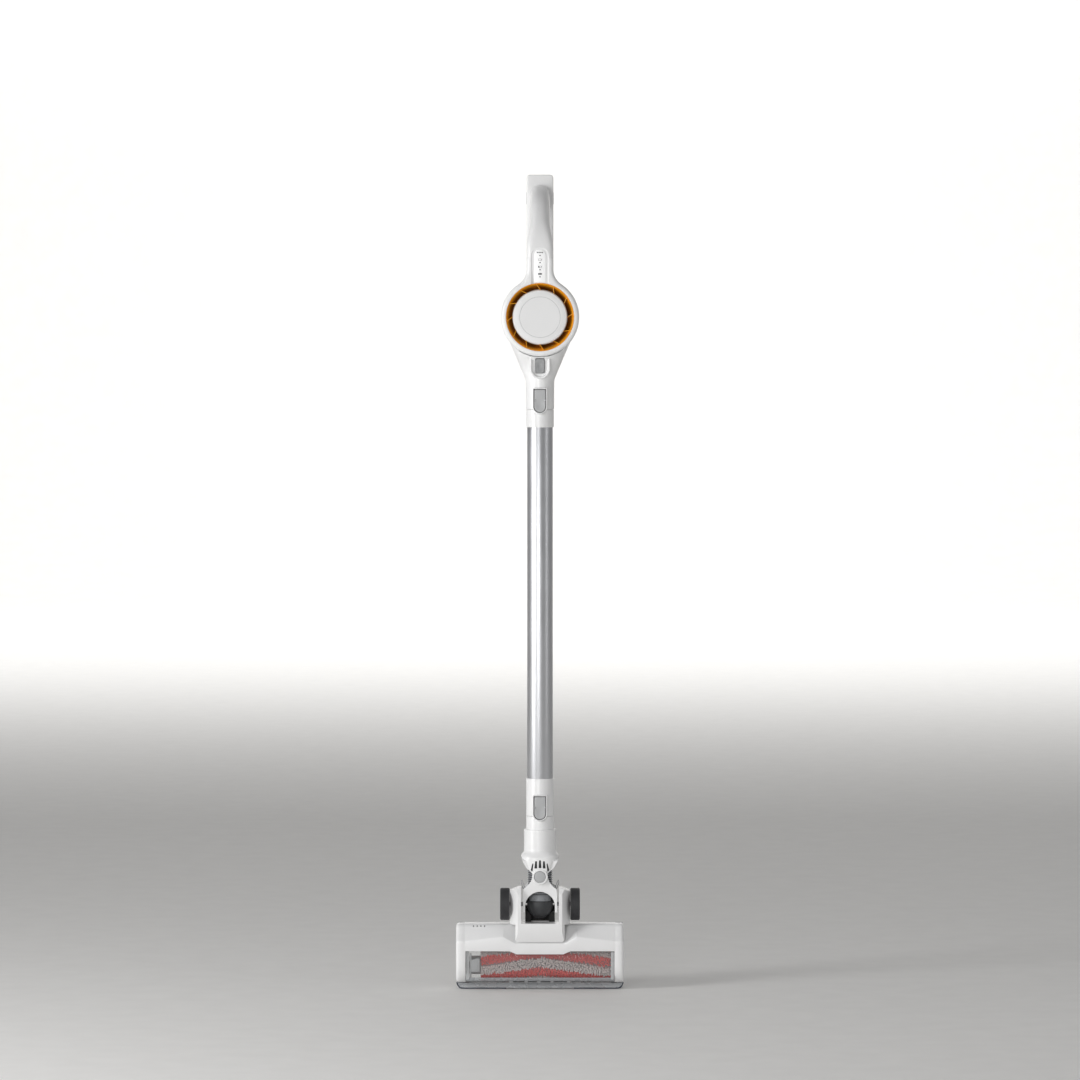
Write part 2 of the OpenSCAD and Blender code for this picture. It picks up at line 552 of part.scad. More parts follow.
// ---- neck of the head
module neck_tube() color("whitesmoke") {
    difference() {
        spigot(low_seam_z, ring_z + 4, collar_r);
    }
}
shell_y = plate_y + plate_t + 0.4;
function shell_front(inset) = both_sides([
    [10.6 - inset, swivel_z], [9.6 - inset, swivel_z + 4.6], [19.4 - inset, swivel_z + 11.5], [25.6 - inset, ring_z - 5],
    [24.6 - inset, ring_z - 2], [ring_r - inset, ring_z], [ring_r - inset, neck_collar_z]]);
module swivel_shell(s) difference() {
    union() {
        intersection() {
            rod_z(ring_r, ring_z, neck_collar_z);
            block(-60, 60, min(0, s * 60), max(0, s * 60), 0, 999);
        }
        intersection() {
            along_y(min(s * (shell_y + tongue_t), 0), max(s * (shell_y + tongue_t), 0)) polygon(shell_front(0));
            block(-60, 60, -60, 60, 0, ring_z + e);
            union() {
                block(-60, 60, min(s * shell_y, s * 60), max(s * shell_y, s * 60), 0, 999);
                block(-60, 60, -60, 60, ring_z - 12, 999);
            }
        }
        along_y(min(s * shell_y, s * (shell_y + tongue_t)), max(s * shell_y, s * (shell_y + tongue_t)))
            translate([0, swivel_z]) circle(r = 10.5);
    }
    rod_z(collar_r + fit, ring_z + 4, 999);
    rod_z(hose_r + 0.6, 0, ring_z + 5);
    block(-60, 60, min(0, s * 0.05), max(0, s * 0.05), 0, 999);
    translate([0, 0, swivel_z]) rod_y(4 + 0.05, -60, 60);
    translate([0, 0, swivel_z]) rod_y(7.6 + fit, min(s * (shell_y + tongue_t - 1.6), s * 60), max(s * (shell_y + tongue_t - 1.6), s * 60));
}
module swivel_front_shell() color("whitesmoke") difference() {
    swivel_shell(-1);
    for (i = [-1:1]) along_y(-60, -shell_y - tongue_t + 2) polygon([
        [i * 5.4 - 1.4, swivel_z + 11.5], [i * 5.4 + 1.4, swivel_z + 11.5], [i * 5 + 1, swivel_z + 21.5 - 2 * abs(i)], [i * 5 - 1, swivel_z + 21.5 - 2 * abs(i)]]);
}
module swivel_rear_shell() color("whitesmoke") swivel_shell(1);
module swivel_cap() color("silver") translate([0, 0, swivel_z]) {
    rod_y(7.6, -shell_y - tongue_t - 0.6, -shell_y - tongue_t + 1.5);
    rod_y(7.6, shell_y + tongue_t - 1.5, shell_y + tongue_t + 0.6);
}
hose_z0 = pivot_z + 14;
hose_turns = 16;
hose_pitch = (ring_z + 2 - hose_z0) / hose_turns;
module neck_hose() color("gray") rotate_extrude() polygon(concat(
    [for (i = [0:hose_turns - 1]) each [[hose_r - 1.6, hose_z0 + hose_pitch * (i + 0.02)],
        [hose_r, hose_z0 + hose_pitch * (i + 0.3)], [hose_r, hose_z0 + hose_pitch * (i + 0.7)]]],
    [[hose_r - 1.6, hose_z0 + hose_pitch * hose_turns], [duct_r, hose_z0 + hose_pitch * hose_turns], [duct_r, hose_z0]]));

// ---- yoke between the swivel and the tilt pivot
function yoke_front(arch) = concat(
    [[yoke_half, pivot_z - 9.5], [yoke_half, swivel_z - 19.5]], arc([0, swivel_z], 10.5, -20, 200, 16),
    [[-yoke_half, swivel_z - 19.5], [-yoke_half, pivot_z - 9.5], [-arch, pivot_z - 9.5]],
    arc([0, pivot_z - 2], arch, 180, 0, 20), [[arch, pivot_z - 9.5]]);
module yoke() color("whitesmoke") difference() {
    union() {
        for (s = [-1, 1]) intersection() {
            along_y(min(s * plate_y, s * (plate_y + plate_t)), max(s * plate_y, s * (plate_y + plate_t))) polygon(yoke_front(20.4));
            block(-60, 60, -60, 60, s < 0 ? 0 : pivot_z + 14, 999);
        }
        for (s = [-1, 1]) along_x(min(s * (yoke_half - yoke_arm_t), s * yoke_half), max(s * (yoke_half - yoke_arm_t), s * yoke_half))
            polygon(concat([[-plate_y - plate_t, swivel_z - 19.5], [-plate_y - plate_t, pivot_z - 6]],
                arc([0, pivot_z], 9.6, 215, 335, 10), [[plate_y + plate_t, pivot_z + 14], [plate_y + plate_t, swivel_z - 19.5]]));
    }
    at_pivot() rod_x(3.1, -40, 40);
    translate([0, 0, swivel_z]) rod_y(4 + 0.05, -60, 60);
}
module swivel_pins() color("silver") translate([0, 0, swivel_z]) for (s = [-1, 1])
    rod_y(4, min(s * (plate_y - 0.8), s * (shell_y + tongue_t - 1.8)), max(s * (plate_y - 0.8), s * (shell_y + tongue_t - 1.8)));
module duct_ball() color("dimgray") difference() {
    union() {
        at_pivot() sphere(r = ball_r);
        rod_z(hose_r - 2, pivot_z, hose_z0 - 0.1);
    }
    at_pivot() sphere(r = ball_r - 2);
    rod_z(duct_r, pivot_z, hose_z0 + 1);
    block(-12, 12, -8, 12, pivot_z - 30, pivot_z);
    block(-60, 60, -60, 60, hose_z0 - 0.1, 999);
}
module tilt_pins() color("silver") at_pivot() for (s = [-1, 1])
    rod_x(3, min(s * (yoke_half - yoke_arm_t - 0.8), s * (wheel_x + wheel_w)), max(s * (yoke_half - yoke_arm_t - 0.8), s * (wheel_x + wheel_w)));

// ---- floor head: casings
function hood_plan(inset) = both_sides([
    [hood_half - inset, sole_y - inset], [hood_half - inset, hood_top_y + 16],
    [hood_half - 10.6 - inset * 0.7, hood_top_y + inset]]);
function hood_side(inset) = [
    [sole_y - inset, hood_front_z + inset], [window_y - 1 + inset, hood_front_z + inset],
    [hood_top_y + inset, hood_front_z + 13.8], [hood_top_y + inset, hood_back_z - 8], [hood_top_y + 6 + inset, hood_back_z - inset],
    [8, hood_back_z - inset], [sole_y - inset, hood_back_z - 12 - inset]];
function hood_front(inset) = both_sides([
    [hood_half - 10.6 - inset, hood_front_z + inset], [hood_half - 2.2 - inset, hood_front_z + 8.4 + inset],
    [hood_half - inset, hood_front_z + 20], [hood_half - inset, hood_back_z - 5 - inset], [slot_half + 3 - inset, hood_back_z - inset]]);
module hood_solid(inset) intersection() {
    along_x(-60, 60) polygon(hood_side(inset));
    along_y(-60, 60) polygon(hood_front(inset));
    linear_extrude(999) polygon(hood_plan(inset));
}
module neck_hood() color("whitesmoke") difference() {
    hood_solid(0);
    intersection() {
        hood_solid(wall);
        union() {
            block(-60, 60, -60, 60, 0, slot_z - wall);
            for (s = [-1, 1]) block(min(s * (slot_half + wall), s * 60), max(s * (slot_half + wall), s * 60), -60, 60, 0, 999);
        }
    }
    block(-slot_half, slot_half, -60, 60, slot_z, 999);
    at_pivot() rod_x(3.05, -60, 60);
    block(-60, 60, cover_y - fit, 60, 0, cover_back_z + fit);
    block(-12, 12, -8, 13, cover_back_z, slot_z + 1);
}
function cover_side(inset, foot) = concat(
    [[foot, cover_back_z - inset], [-4, cover_back_z - inset]],
    arc([cover_y + 16 , cover_back_z - 16], 16 - inset, 70, 180, 6),
    [[cover_y + inset, roller_z + 8]],
    arc([roller_y - 1, roller_z], roller_y - 1 - cover_y - inset, 180, 250, 6),
    [[foot, roller_z - (roller_y - 1 - cover_y - inset) * 0.94]]);
module head_cover() color("whitesmoke") difference() {
    union() {
        difference() {
            along_x(-head_w / 2, head_w / 2) polygon(cover_side(0, sole_y - sole_t - fit));
            along_x(-window_w / 2 - 2, window_w / 2 + 2) polygon(cover_side(wall, sole_y));
        }
    }
    along_y(-60, 60) polygon(both_sides([
        [window_w / 2, 0], [window_w / 2, roller_z + roller_r + 1.2], [40, roller_z + roller_r + 1.2], [31, roller_z + roller_r - 3.1]]));
    block(-12, 12, -8, 13, cover_back_z - wall - 1, cover_back_z + 1);
    at_roller() rod_x(4.05, -window_w / 2 - 7, window_w / 2 + 7);
}
function window_side(inset) = concat(
    [[window_y + 9 + inset * 0.5, mouth_z + window_t - inset], [window_y + inset, mouth_z - 8], [window_y + inset, roller_z + 6]],
    arc([roller_y, roller_z], roller_y - window_y - inset, 180, 262, 8));
module brush_window() color([0.8, 0.85, 0.9, 0.35]) difference() {
    along_x(-window_w / 2 + 0.2, window_w / 2 - 0.2)
        polygon(concat(window_side(0), [for (i = [len(window_side(0)) - 1:-1:0]) window_side(window_t)[i]]));
}
module sole_plate() color("dimgray") difference() {
    block(-head_w / 2 + 1.5, head_w / 2 - 1.5, sole_y - sole_t, sole_y, 3, cover_back_z);
    block(-roller_half - 0.8, roller_half + 0.8, 0, 60, roller_z - roller_r - 1, mouth_z + 0.5);
}
module bumper() color("darkslategray")
    along_x(-head_w / 2, head_w / 2) polygon([
        [sole_y, 2.9], [sole_y, 0], [8, 0], [4, 3], [4, 8], [sole_y - sole_t - fit, 8], [sole_y - sole_t - fit, 2.9]]);
module sole_screws() color("silver") for (s = [-1, 1], z = [mouth_z + 16, cover_back_z - 8])
    translate([s * (head_w / 2 - 30), 0, z]) rod_y(2.6, sole_y + 0.02, sole_y + 0.9);
module pivot_cradle() color("black") difference() {
    block(-20.2, 20.2, 2, sole_y - 0.5, slot_z + 0.2, pivot_z - 3);
    at_pivot() sphere(r = ball_r + slip);
    at_pivot() rod_x(10.2, -60, 60);
    block(-12, 12, -60, 13, 0, pivot_z - 12);
}

// ---- floor head: wheels, roller and drive
module wheel(s) at_pivot() difference() {
    rod_x(wheel_r, min(s * wheel_x, s * (wheel_x + wheel_w)), max(s * wheel_x, s * (wheel_x + wheel_w)));
    rod_x(3.05, -99, 99);
}
module wheel_left() color("dimgray") wheel(-1);
module wheel_right() color("dimgray") wheel(1);
module brush_roller() color("gainsboro") at_roller() {
    rod_x(core_r, -roller_half, roller_half);
    rod_x(roller_pulley_r, roller_half - e, belt_x + belt_w + 0.5);
    rod_x(4, -window_w / 2 - 6.5, -roller_half + e);
    rod_x(4, belt_x + belt_w, window_w / 2 + 6.5);
}
module bristle_row(start, twist) translate([0, 0, 0]) rotate([0, 90, 0]) for (s = [0, 1]) mirror([0, 0, s])
    linear_extrude(roller_half - 1, twist = twist, slices = 10, $fn = 6) rotate(start)
        polygon(concat(arc([0, 0], roller_r, -11, 11, 2), arc([0, 0], core_r + 0.1, 12, -12, 4)));
module roller_bristles() color("firebrick") at_roller() for (i = [0:3]) bristle_row(90 * i, 50);
module at_motor() translate([0, brush_motor_y, brush_motor_z]) children();
module brush_motor() color("silver") at_motor() {
    rod_x(brush_motor_r, roller_half - 52, roller_half);
    rod_x(1.6, roller_half - e, belt_x + belt_w);
}
module motor_pulley() color("dimgray") at_motor() pipe_x(motor_pulley_r, 1.65, roller_half + 0.6, belt_x + belt_w + 0.5);
// Outline of a belt that wraps two pulleys of radius r0 and r1, the second d away along z
function belt_outline(r0, r1, c0, c1) =
    let (v = c1 - c0, d = norm(v), a = atan2(v[1], v[0]), b = acos((r0 - r1) / d))
    concat(arc(c0, r0, a + b, a + 360 - b, 20), arc(c1, r1, a - b, a + b, 12));
module drive_belt() color("black") difference() {
    along_x(belt_x, belt_x + belt_w) polygon(belt_outline(roller_pulley_r + belt_t, motor_pulley_r + belt_t,
        [roller_y, roller_z], [brush_motor_y, brush_motor_z]));
    along_x(belt_x - 1, belt_x + belt_w + 1) polygon(belt_outline(roller_pulley_r + 0.12, motor_pulley_r + 0.12,
        [roller_y, roller_z], [brush_motor_y, brush_motor_z]));
}

translate([0, axis_y, 0]) {
    body_front_shell();
    body_rear_shell();
    exhaust_grille();
    exhaust_cap();
    exhaust_filter();
    main_motor();
    impeller();
    impeller_shroud();
    control_board();
    display_panel();
    display_leds();
    battery_holder();
    battery_case();
    battery_cells();
    battery_latch(-1);  // battery_latch_left
    battery_latch(1);  // battery_latch_right
    trigger();
    trigger_spring();
    trigger_switch();
    inlet_neck();
    cup_button();
    cup_button_spring();
    rocker(top_rocker_z);  // upper_rocker
    rocker_pin(top_rocker_z);  // upper_rocker_pin
    dust_cup();
    cyclone();
    pre_filter();
    cup_lid();
    lid_seal();
    lid_hinge_pin();
    lid_latch();
    wand_top_connector();
    wand_tube();
    wand_conductors();
    wand_bottom_connector();
    rocker(low_rocker_z);  // lower_rocker
    rocker_pin(low_rocker_z);  // lower_rocker_pin
    neck_tube();
    swivel_front_shell();
    swivel_rear_shell();
    swivel_cap();
    neck_hose();
    yoke();
    swivel_pins();
    duct_ball();
    pivot_cradle();
    neck_hood();
    head_cover();
    brush_window();
    sole_plate();
    bumper();
    sole_screws();
    tilt_pins();
    wheel_left();
    wheel_right();
    brush_roller();
    roller_bristles();
    brush_motor();
    motor_pulley();
    drive_belt();
}
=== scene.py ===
"""Looks of a cordless stick vacuum, laid out as an add-on: sizes and colours, one operator for each piece
and a sidebar panel."""

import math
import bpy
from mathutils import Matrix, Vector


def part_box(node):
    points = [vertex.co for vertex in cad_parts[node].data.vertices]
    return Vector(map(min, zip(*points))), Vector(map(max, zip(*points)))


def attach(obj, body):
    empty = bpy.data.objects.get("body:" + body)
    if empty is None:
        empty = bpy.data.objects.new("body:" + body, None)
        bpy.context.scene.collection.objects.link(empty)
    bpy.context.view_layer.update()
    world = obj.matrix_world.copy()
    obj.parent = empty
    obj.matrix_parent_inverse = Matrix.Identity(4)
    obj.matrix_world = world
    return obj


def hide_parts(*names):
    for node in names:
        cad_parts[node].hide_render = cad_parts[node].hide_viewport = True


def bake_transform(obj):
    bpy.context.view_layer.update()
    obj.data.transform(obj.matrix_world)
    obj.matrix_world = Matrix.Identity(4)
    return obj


bl_info = {
    "name": "Cordless stick vacuum",
    "version": (1, 0, 0),
    "blender": (4, 5, 0),
    "location": "View3D > Sidebar > Vacuum",
    "description": "Builds the finished surfaces of a cordless stick vacuum on its frame",
    "category": "Object",
}

import bmesh
import bpy
import numpy as np
from mathutils import Vector

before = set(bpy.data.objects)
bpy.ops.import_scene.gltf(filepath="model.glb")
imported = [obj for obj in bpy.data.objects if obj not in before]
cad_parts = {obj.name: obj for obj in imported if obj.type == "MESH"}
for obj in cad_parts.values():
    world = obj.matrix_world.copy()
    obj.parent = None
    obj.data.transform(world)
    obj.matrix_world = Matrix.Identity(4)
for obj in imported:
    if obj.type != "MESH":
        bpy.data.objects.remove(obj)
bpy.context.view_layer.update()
TUBE_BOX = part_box("wand_tube")
AXIS_Y = 500 * (TUBE_BOX[0].y + TUBE_BOX[1].y)  # mm, the wand's axis in the frame
FRONT_Y = 1000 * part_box("exhaust_cap")[0].y - AXIS_Y + 1  # mm, the flat face of the housing
BODY_Z = 500 * (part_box("exhaust_cap")[0].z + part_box("exhaust_cap")[1].z)  # mm, the housing's centre
TOP_Z = 1000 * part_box("battery_case")[1].z  # mm, top of the handle
PIVOT_Z = 500 * (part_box("wheel_left")[0].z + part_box("wheel_left")[1].z)  # mm, tilt axis
SWIVEL_Z = 500 * (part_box("swivel_cap")[0].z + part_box("swivel_cap")[1].z)  # mm, swivel axis


# ---- colour and nodes
def linear(code):
    """sRGB hex to linear RGB: each channel c becomes c / 12.92 below 0.04045, else ((c + 0.055) / 1.055) **
    2.4."""
    channels = [int(code[i:i + 2], 16) / 255 for i in (1, 3, 5)]
    return tuple(c / 12.92 if c <= 0.04045 else ((c + 0.055) / 1.055) ** 2.4 for c in channels)


def add(mat, kind, inputs=None, **settings):
    """Adds one node: settings are its own values, inputs its sockets' values or what is linked to them."""
    node = mat.node_tree.nodes.new(kind)
    for key, value in settings.items():
        setattr(node, key, value)
    for key, value in (inputs or {}).items():
        if isinstance(value, bpy.types.NodeSocket):
            mat.node_tree.links.new(value, node.inputs[key])
        else:
            node.inputs[key].default_value = value
    return node


def finish(name, colour, rough, grain=0.4, depth=0.006, swing=0.05, metal=0.0, stretch=(1, 1, 1), **sockets):
    """A surface whose roughness and bump follow a noise of the given grain in mm, stretched along some axes.
    The grain is drawn about twice as coarse as a real mould texture, so that it shows."""
    mat = bpy.data.materials.new(name)
    mat.use_nodes = True
    bsdf = mat.node_tree.nodes["Principled BSDF"]
    place = add(mat, "ShaderNodeTexCoord")
    turn = add(mat, "ShaderNodeMapping", {"Vector": place.outputs["Object"], "Scale": stretch})
    fine = add(mat, "ShaderNodeTexNoise", {"Vector": turn.outputs[0], "Scale": 1000 / grain, "Detail": 3.0})
    broad = add(mat, "ShaderNodeTexNoise", {"Vector": place.outputs["Object"], "Scale": 22.0, "Detail": 2.0})
    mix = add(mat, "ShaderNodeMath", {0: fine.outputs["Fac"], 1: broad.outputs["Fac"]}, operation="ADD")
    level = add(mat, "ShaderNodeMapRange", {0: mix.outputs[0], 1: 0.6, 2: 1.4, 3: rough - swing,
                                            4: rough + swing})
    tone = add(mat, "ShaderNodeMapRange", {0: broad.outputs["Fac"], 1: 0.3, 2: 0.7, 3: 0.97, 4: 1.0})
    shade = add(mat, "ShaderNodeMix", data_type="RGBA", blend_type="MULTIPLY")
    shade.inputs[0].default_value = 1.0
    shade.inputs[6].default_value = (*colour, 1.0)
    mat.node_tree.links.new(tone.outputs[0], shade.inputs[7])
    bump = add(mat, "ShaderNodeBump", {"Height": fine.outputs["Fac"], "Strength": 0.35,
                                       "Distance": depth / 1000})
    mat.node_tree.links.new(shade.outputs[2], bsdf.inputs["Base Color"])
    mat.node_tree.links.new(level.outputs[0], bsdf.inputs["Roughness"])
    mat.node_tree.links.new(bump.outputs[0], bsdf.inputs["Normal"])
    bsdf.inputs["Metallic"].default_value = metal
    for key, value in sockets.items():
        bsdf.inputs[key.replace("_", " ")].default_value = value
    return mat


def banded(name, low, high, rough, axis, start, end, **sockets):
    """A colour that runs from one tone to another along an axis of the object, between two places in mm."""
    mat = finish(name, linear("#FFFFFF"), rough, **sockets)
    tree = mat.node_tree
    bsdf = tree.nodes["Principled BSDF"]
    place = add(mat, "ShaderNodeTexCoord")
    parts = add(mat, "ShaderNodeSeparateXYZ", {0: place.outputs["Object"]})
    fac = add(mat, "ShaderNodeMapRange", {0: parts.outputs[axis], 1: start / 1000, 2: end / 1000})
    ramp = add(mat, "ShaderNodeMix", data_type="RGBA")
    ramp.inputs[6].default_value = (*low, 1.0)
    ramp.inputs[7].default_value = (*high, 1.0)
    tree.links.new(fac.outputs[0], ramp.inputs[0])
    tree.links.new(ramp.outputs[2], bsdf.inputs["Base Color"])
    return mat


def clear(name, colour, rough, ior, **sockets):
    """A see-through moulding: the light passes, and a faint waviness of the surface breaks its
    reflections."""
    mat = bpy.data.materials.new(name)
    mat.use_nodes = True
    bsdf = mat.node_tree.nodes["Principled BSDF"]
    place = add(mat, "ShaderNodeTexCoord")
    wave = add(mat, "ShaderNodeTexNoise", {"Vector": place.outputs["Object"], "Scale": 60.0, "Detail": 2.0})
    level = add(mat, "ShaderNodeMapRange", {0: wave.outputs["Fac"], 1: 0.3, 2: 0.7, 3: rough * 0.8,
                                            4: rough * 1.2})
    bump = add(mat, "ShaderNodeBump", {"Height": wave.outputs["Fac"], "Strength": 0.1, "Distance": 0.0002})
    mat.node_tree.links.new(level.outputs[0], bsdf.inputs["Roughness"])
    mat.node_tree.links.new(bump.outputs[0], bsdf.inputs["Normal"])
    bsdf.inputs["Base Color"].default_value = (*colour, 1.0)
    bsdf.inputs["Transmission Weight"].default_value = 1.0
    bsdf.inputs["IOR"].default_value = ior
    for key, value in sockets.items():
        bsdf.inputs[key.replace("_", " ")].default_value = value
    return mat


# ---- outlines and surfaces, all in mm from the wand's axis
def quads(nu, nv, wrap_u, wrap_v):
    """The four corners of every cell of a grid of nu by nv points, closed round one or both ways."""
    i, j = np.meshgrid(np.arange(nu if wrap_u else nu - 1), np.arange(nv if wrap_v else nv - 1),
                       indexing="ij")
    a, b = i * nv + j, ((i + 1) % nu) * nv + j
    c, d = ((i + 1) % nu) * nv + (j + 1) % nv, i * nv + (j + 1) % nv
    return np.stack([a, b, c, d], -1).reshape(-1, 4)


def arc(cx, cy, r, a0, a1, n=12):
    """Points on a circle: centre plus r times the cosine and sine of angles in equal steps."""
    t = np.radians(np.linspace(a0, a1, n + 1))
    return np.stack([cx + r * np.cos(t), cy + r * np.sin(t)], -1)


def eased(x, x0, x1):
    """0 below x0, 1 above x1, and between them t * t * (3 - 2 t)."""
    t = np.clip((np.asarray(x, float) - x0) / (x1 - x0), 0, 1)
    return t * t * (3 - 2 * t)


def rounded(points, radius, steps=4, closed=True):
    """Each corner becomes a quadratic curve that leaves its edges up to radius from the corner."""
    p = np.asarray(points, float)
    back, ahead = np.roll(p, 1, 0) - p, np.roll(p, -1, 0) - p
    la, lb = np.linalg.norm(back, axis=1), np.linalg.norm(ahead, axis=1)
    cut = np.minimum(np.broadcast_to(np.asarray(radius, float), len(p)), 0.48 * np.minimum(la, lb))
    if not closed:
        cut = cut.copy()
        cut[[0, -1]] = 0
    a, b = p + back / la[:, None] * cut[:, None], p + ahead / lb[:, None] * cut[:, None]
    t = np.linspace(0, 1, steps + 1)[:, None, None]
    q = ((1 - t) ** 2 * a + 2 * t * (1 - t) * p + t * t * b).transpose(1, 0, 2).reshape(-1, p.shape[1])
    keep = np.r_[True, np.linalg.norm(np.diff(q, axis=0), axis=1) > 1e-4]
    return q[keep]


def rect(x0, z0, x1, z1):
    """The four corners of a rectangle between two opposite ones."""
    return np.array([[x0, z0], [x1, z0], [x1, z1], [x0, z1]], float)


def evened(outline, n):
    """The same closed line with n points at equal steps along its length."""
    p = np.concatenate([outline, outline[:1]])
    s = np.r_[0, np.cumsum(np.linalg.norm(np.diff(p, axis=0), axis=1))]
    t = np.linspace(0, s[-1], n, endpoint=False)
    return np.stack([np.interp(t, s, p[:, 0]), np.interp(t, s, p[:, 1])], -1)


def inset(outline, d):
    """The outline moved inwards by d along the mean normal of each corner, lengthened by one over its half
    angle's cosine."""
    e = np.roll(outline, -1, 0) - outline
    e = e / np.maximum(np.linalg.norm(e, axis=1), 1e-9)[:, None]
    area = np.sum(outline[:, 0] * np.roll(outline[:, 1], -1) - outline[:, 1] * np.roll(outline[:, 0], -1))
    n = np.stack([-e[:, 1], e[:, 0]], -1) * np.sign(area)
    m = n + np.roll(n, 1, 0)
    m = m / np.maximum(np.linalg.norm(m, axis=1), 1e-6)[:, None]
    cos = np.maximum(np.sum(m * n, axis=1), 0.5)
    return outline + m * (d / cos)[:, None]


def lift(ring, level, axis):
    """A flat ring put at a level of the x, y or z axis; its two numbers are the other two axes in order."""
    level = np.broadcast_to(level, len(ring))
    at = {"x": 0, "y": 1, "z": 2}[axis]
    return np.insert(ring, at, level, axis=1)


def slab(outline, steps, axis, mat=0, closed=False):
    """A plate: one ring of the outline for each (inset, level) step, with flat ends, or closed round if it
    is a frame."""
    rings = np.stack([lift(inset(outline, d), level, axis) for d, level in steps])
    return rings, closed, True, not closed, mat


def soft(thick0, thick1, r, steps=3):
    """Steps of a plate between two levels whose edges are quarter circles of radius r."""
    a = np.linspace(0, math.pi / 2, steps + 1)
    s = 1 if thick1 > thick0 else -1
    first = [(r - r * math.sin(t), thick0 + s * (r - r * math.cos(t))) for t in a]
    last = [(r - r * math.cos(t), thick1 - s * (r - r * math.sin(t))) for t in a]
    return first + last


def dished(outline, y, r, bump, mat=0, depth=2.0, fills=10):
    """A button facing -Y: rounded rim, then rings that shrink to the middle, moved back by bump(x, z)."""
    a = np.linspace(0, math.pi / 2, 5)
    rings = [lift(outline, y + depth, "y")] + [lift(inset(outline, r - r * math.cos(t)),
                                                    y + r - r * math.sin(t), "y") for t in a]
    top, mid = inset(outline, r), np.array([outline[:, 0].mean(), outline[:, 1].mean()])
    rings += [lift(mid + (top - mid) * k, y, "y") for k in np.linspace(1, 0.02, fills)[1:]]
    p = np.stack(rings)
    weight = np.r_[np.zeros(2), np.linspace(0, 1, 4), np.ones(fills - 1)][: len(p)]
    p[:, :, 1] += bump(p[:, :, 0], p[:, :, 2]) * weight[:, None]
    return p, False, True, True, mat


def lathe(profile, axis="z", centre=(0, 0), n=96, mat=0, closed=True):
    """A profile of (radius, level) turned round an axis through centre: the other two axes are r cos t and r
    sin t."""
    t = np.linspace(0, 2 * math.pi, n, endpoint=False)
    pr = np.asarray(profile, float)
    ring = np.stack([centre[0] + pr[:, :1] * np.cos(t), centre[1] + pr[:, :1] * np.sin(t)], -1)
    level = np.repeat(pr[:, 1:2], n, 1)[..., None]
    at = {"x": 0, "y": 1, "z": 2}[axis]
    p = np.concatenate([ring[..., :at], level, ring[..., at:]], -1)
    return p, closed, True, False, mat


def rod(r, low, high, axis, centre, n, mat=0):
    """A plain round rod of radius r between two levels of an axis."""
    return lathe([[0, low], [r, low], [r, high], [0, high]], axis, centre, n, mat, False)


def tube(path, radius, n=12, mat=0):
    """A round bar along a line: at each point a circle across the line's direction."""
    p = np.asarray(path, float)
    d = np.gradient(p, axis=0)
    d /= np.linalg.norm(d, axis=1)[:, None]
    side = np.cross(d, np.where(np.abs(d[:, 2:3]) > 0.9, [[1.0, 0, 0]], [[0, 0, 1.0]]))
    side /= np.linalg.norm(side, axis=1)[:, None]
    up = np.cross(side, d)
    t = np.linspace(0, 2 * math.pi, n, endpoint=False)[None, :, None]
    r = np.broadcast_to(radius, len(p))[:, None, None]
    return p[:, None] + r * (np.cos(t) * side[:, None] + np.sin(t) * up[:, None]), False, True, True, mat


def mesh_of(name, patches, materials, sharp=30):
    """One mesh from grids of points: cells become faces, doubles merge, faces turn outwards, sharp edges
    stay sharp."""
    verts, faces, index, start = [], [], [], 0
    for p, wrap_u, wrap_v, caps, mat in patches:
        nu, nv = p.shape[:2]
        cells = quads(nu, nv, wrap_u, wrap_v) + start
        faces += cells.tolist()
        index += np.broadcast_to(mat, len(cells)).tolist()
        if caps:
            faces += [np.arange(start, start + nv)[::-1].tolist(),
                      np.arange(start + (nu - 1) * nv, start + nu * nv).tolist()]
            index += [int(np.max(mat))] * 2
        verts.append(p.reshape(-1, 3))
        start += nu * nv
    co = (np.concatenate(verts) + [0, AXIS_Y, 0]) / 1000
    mesh = bpy.data.meshes.new(name)
    mesh.from_pydata(co.tolist(), [], faces)
    for mat in materials:
        mesh.materials.append(mat)
    mesh.polygons.foreach_set("material_index", index)
    tidy(mesh, sharp)
    return mesh


def tidy(mesh, sharp=30):
    """Merges doubles, turns faces outwards and marks edges sharper than an angle."""
    bm = bmesh.new()
    bm.from_mesh(mesh)
    bmesh.ops.remove_doubles(bm, verts=bm.verts, dist=2e-6)
    bmesh.ops.recalc_face_normals(bm, faces=bm.faces)
    bm.to_mesh(mesh)
    bm.free()
    mesh.polygons.foreach_set("use_smooth", np.ones(len(mesh.polygons), bool))
    mesh.set_sharp_from_angle(angle=math.radians(sharp))
    mesh.update()


def carve(mesh, cutters, sharp=30):
    """Takes the cutters' solids out of a mesh."""
    whole = bpy.data.objects.new("whole", mesh)
    tool = bpy.data.objects.new("tool", mesh_of("tool", cutters, [m for m in mesh.materials]))
    for o in (whole, tool):
        bpy.context.scene.collection.objects.link(o)
    mod = whole.modifiers.new("cut", "BOOLEAN")
    mod.operation, mod.solver, mod.object, mod.use_self = "DIFFERENCE", "EXACT", tool, True
    bpy.context.view_layer.update()
    cut = bpy.data.meshes.new_from_object(whole.evaluated_get(bpy.context.evaluated_depsgraph_get()))
    name = mesh.name
    bpy.data.objects.remove(whole)
    bpy.data.objects.remove(tool)
    mesh.name = name + "_solid"
    cut.name = name
    if len(cut.polygons) < 8:
        raise RuntimeError(f"cutting {name} left nothing")
    tidy(cut, sharp)
    return cut


def place(name, mesh, body, slot, nodes=()):
    """Puts a finished mesh in the scene on its body, in the place of its nodes."""
    obj = bpy.data.objects.new(name, mesh)
    bpy.context.scene.collection.objects.link(obj)
    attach(obj, body)
    if nodes:
        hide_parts(*nodes)
    return obj


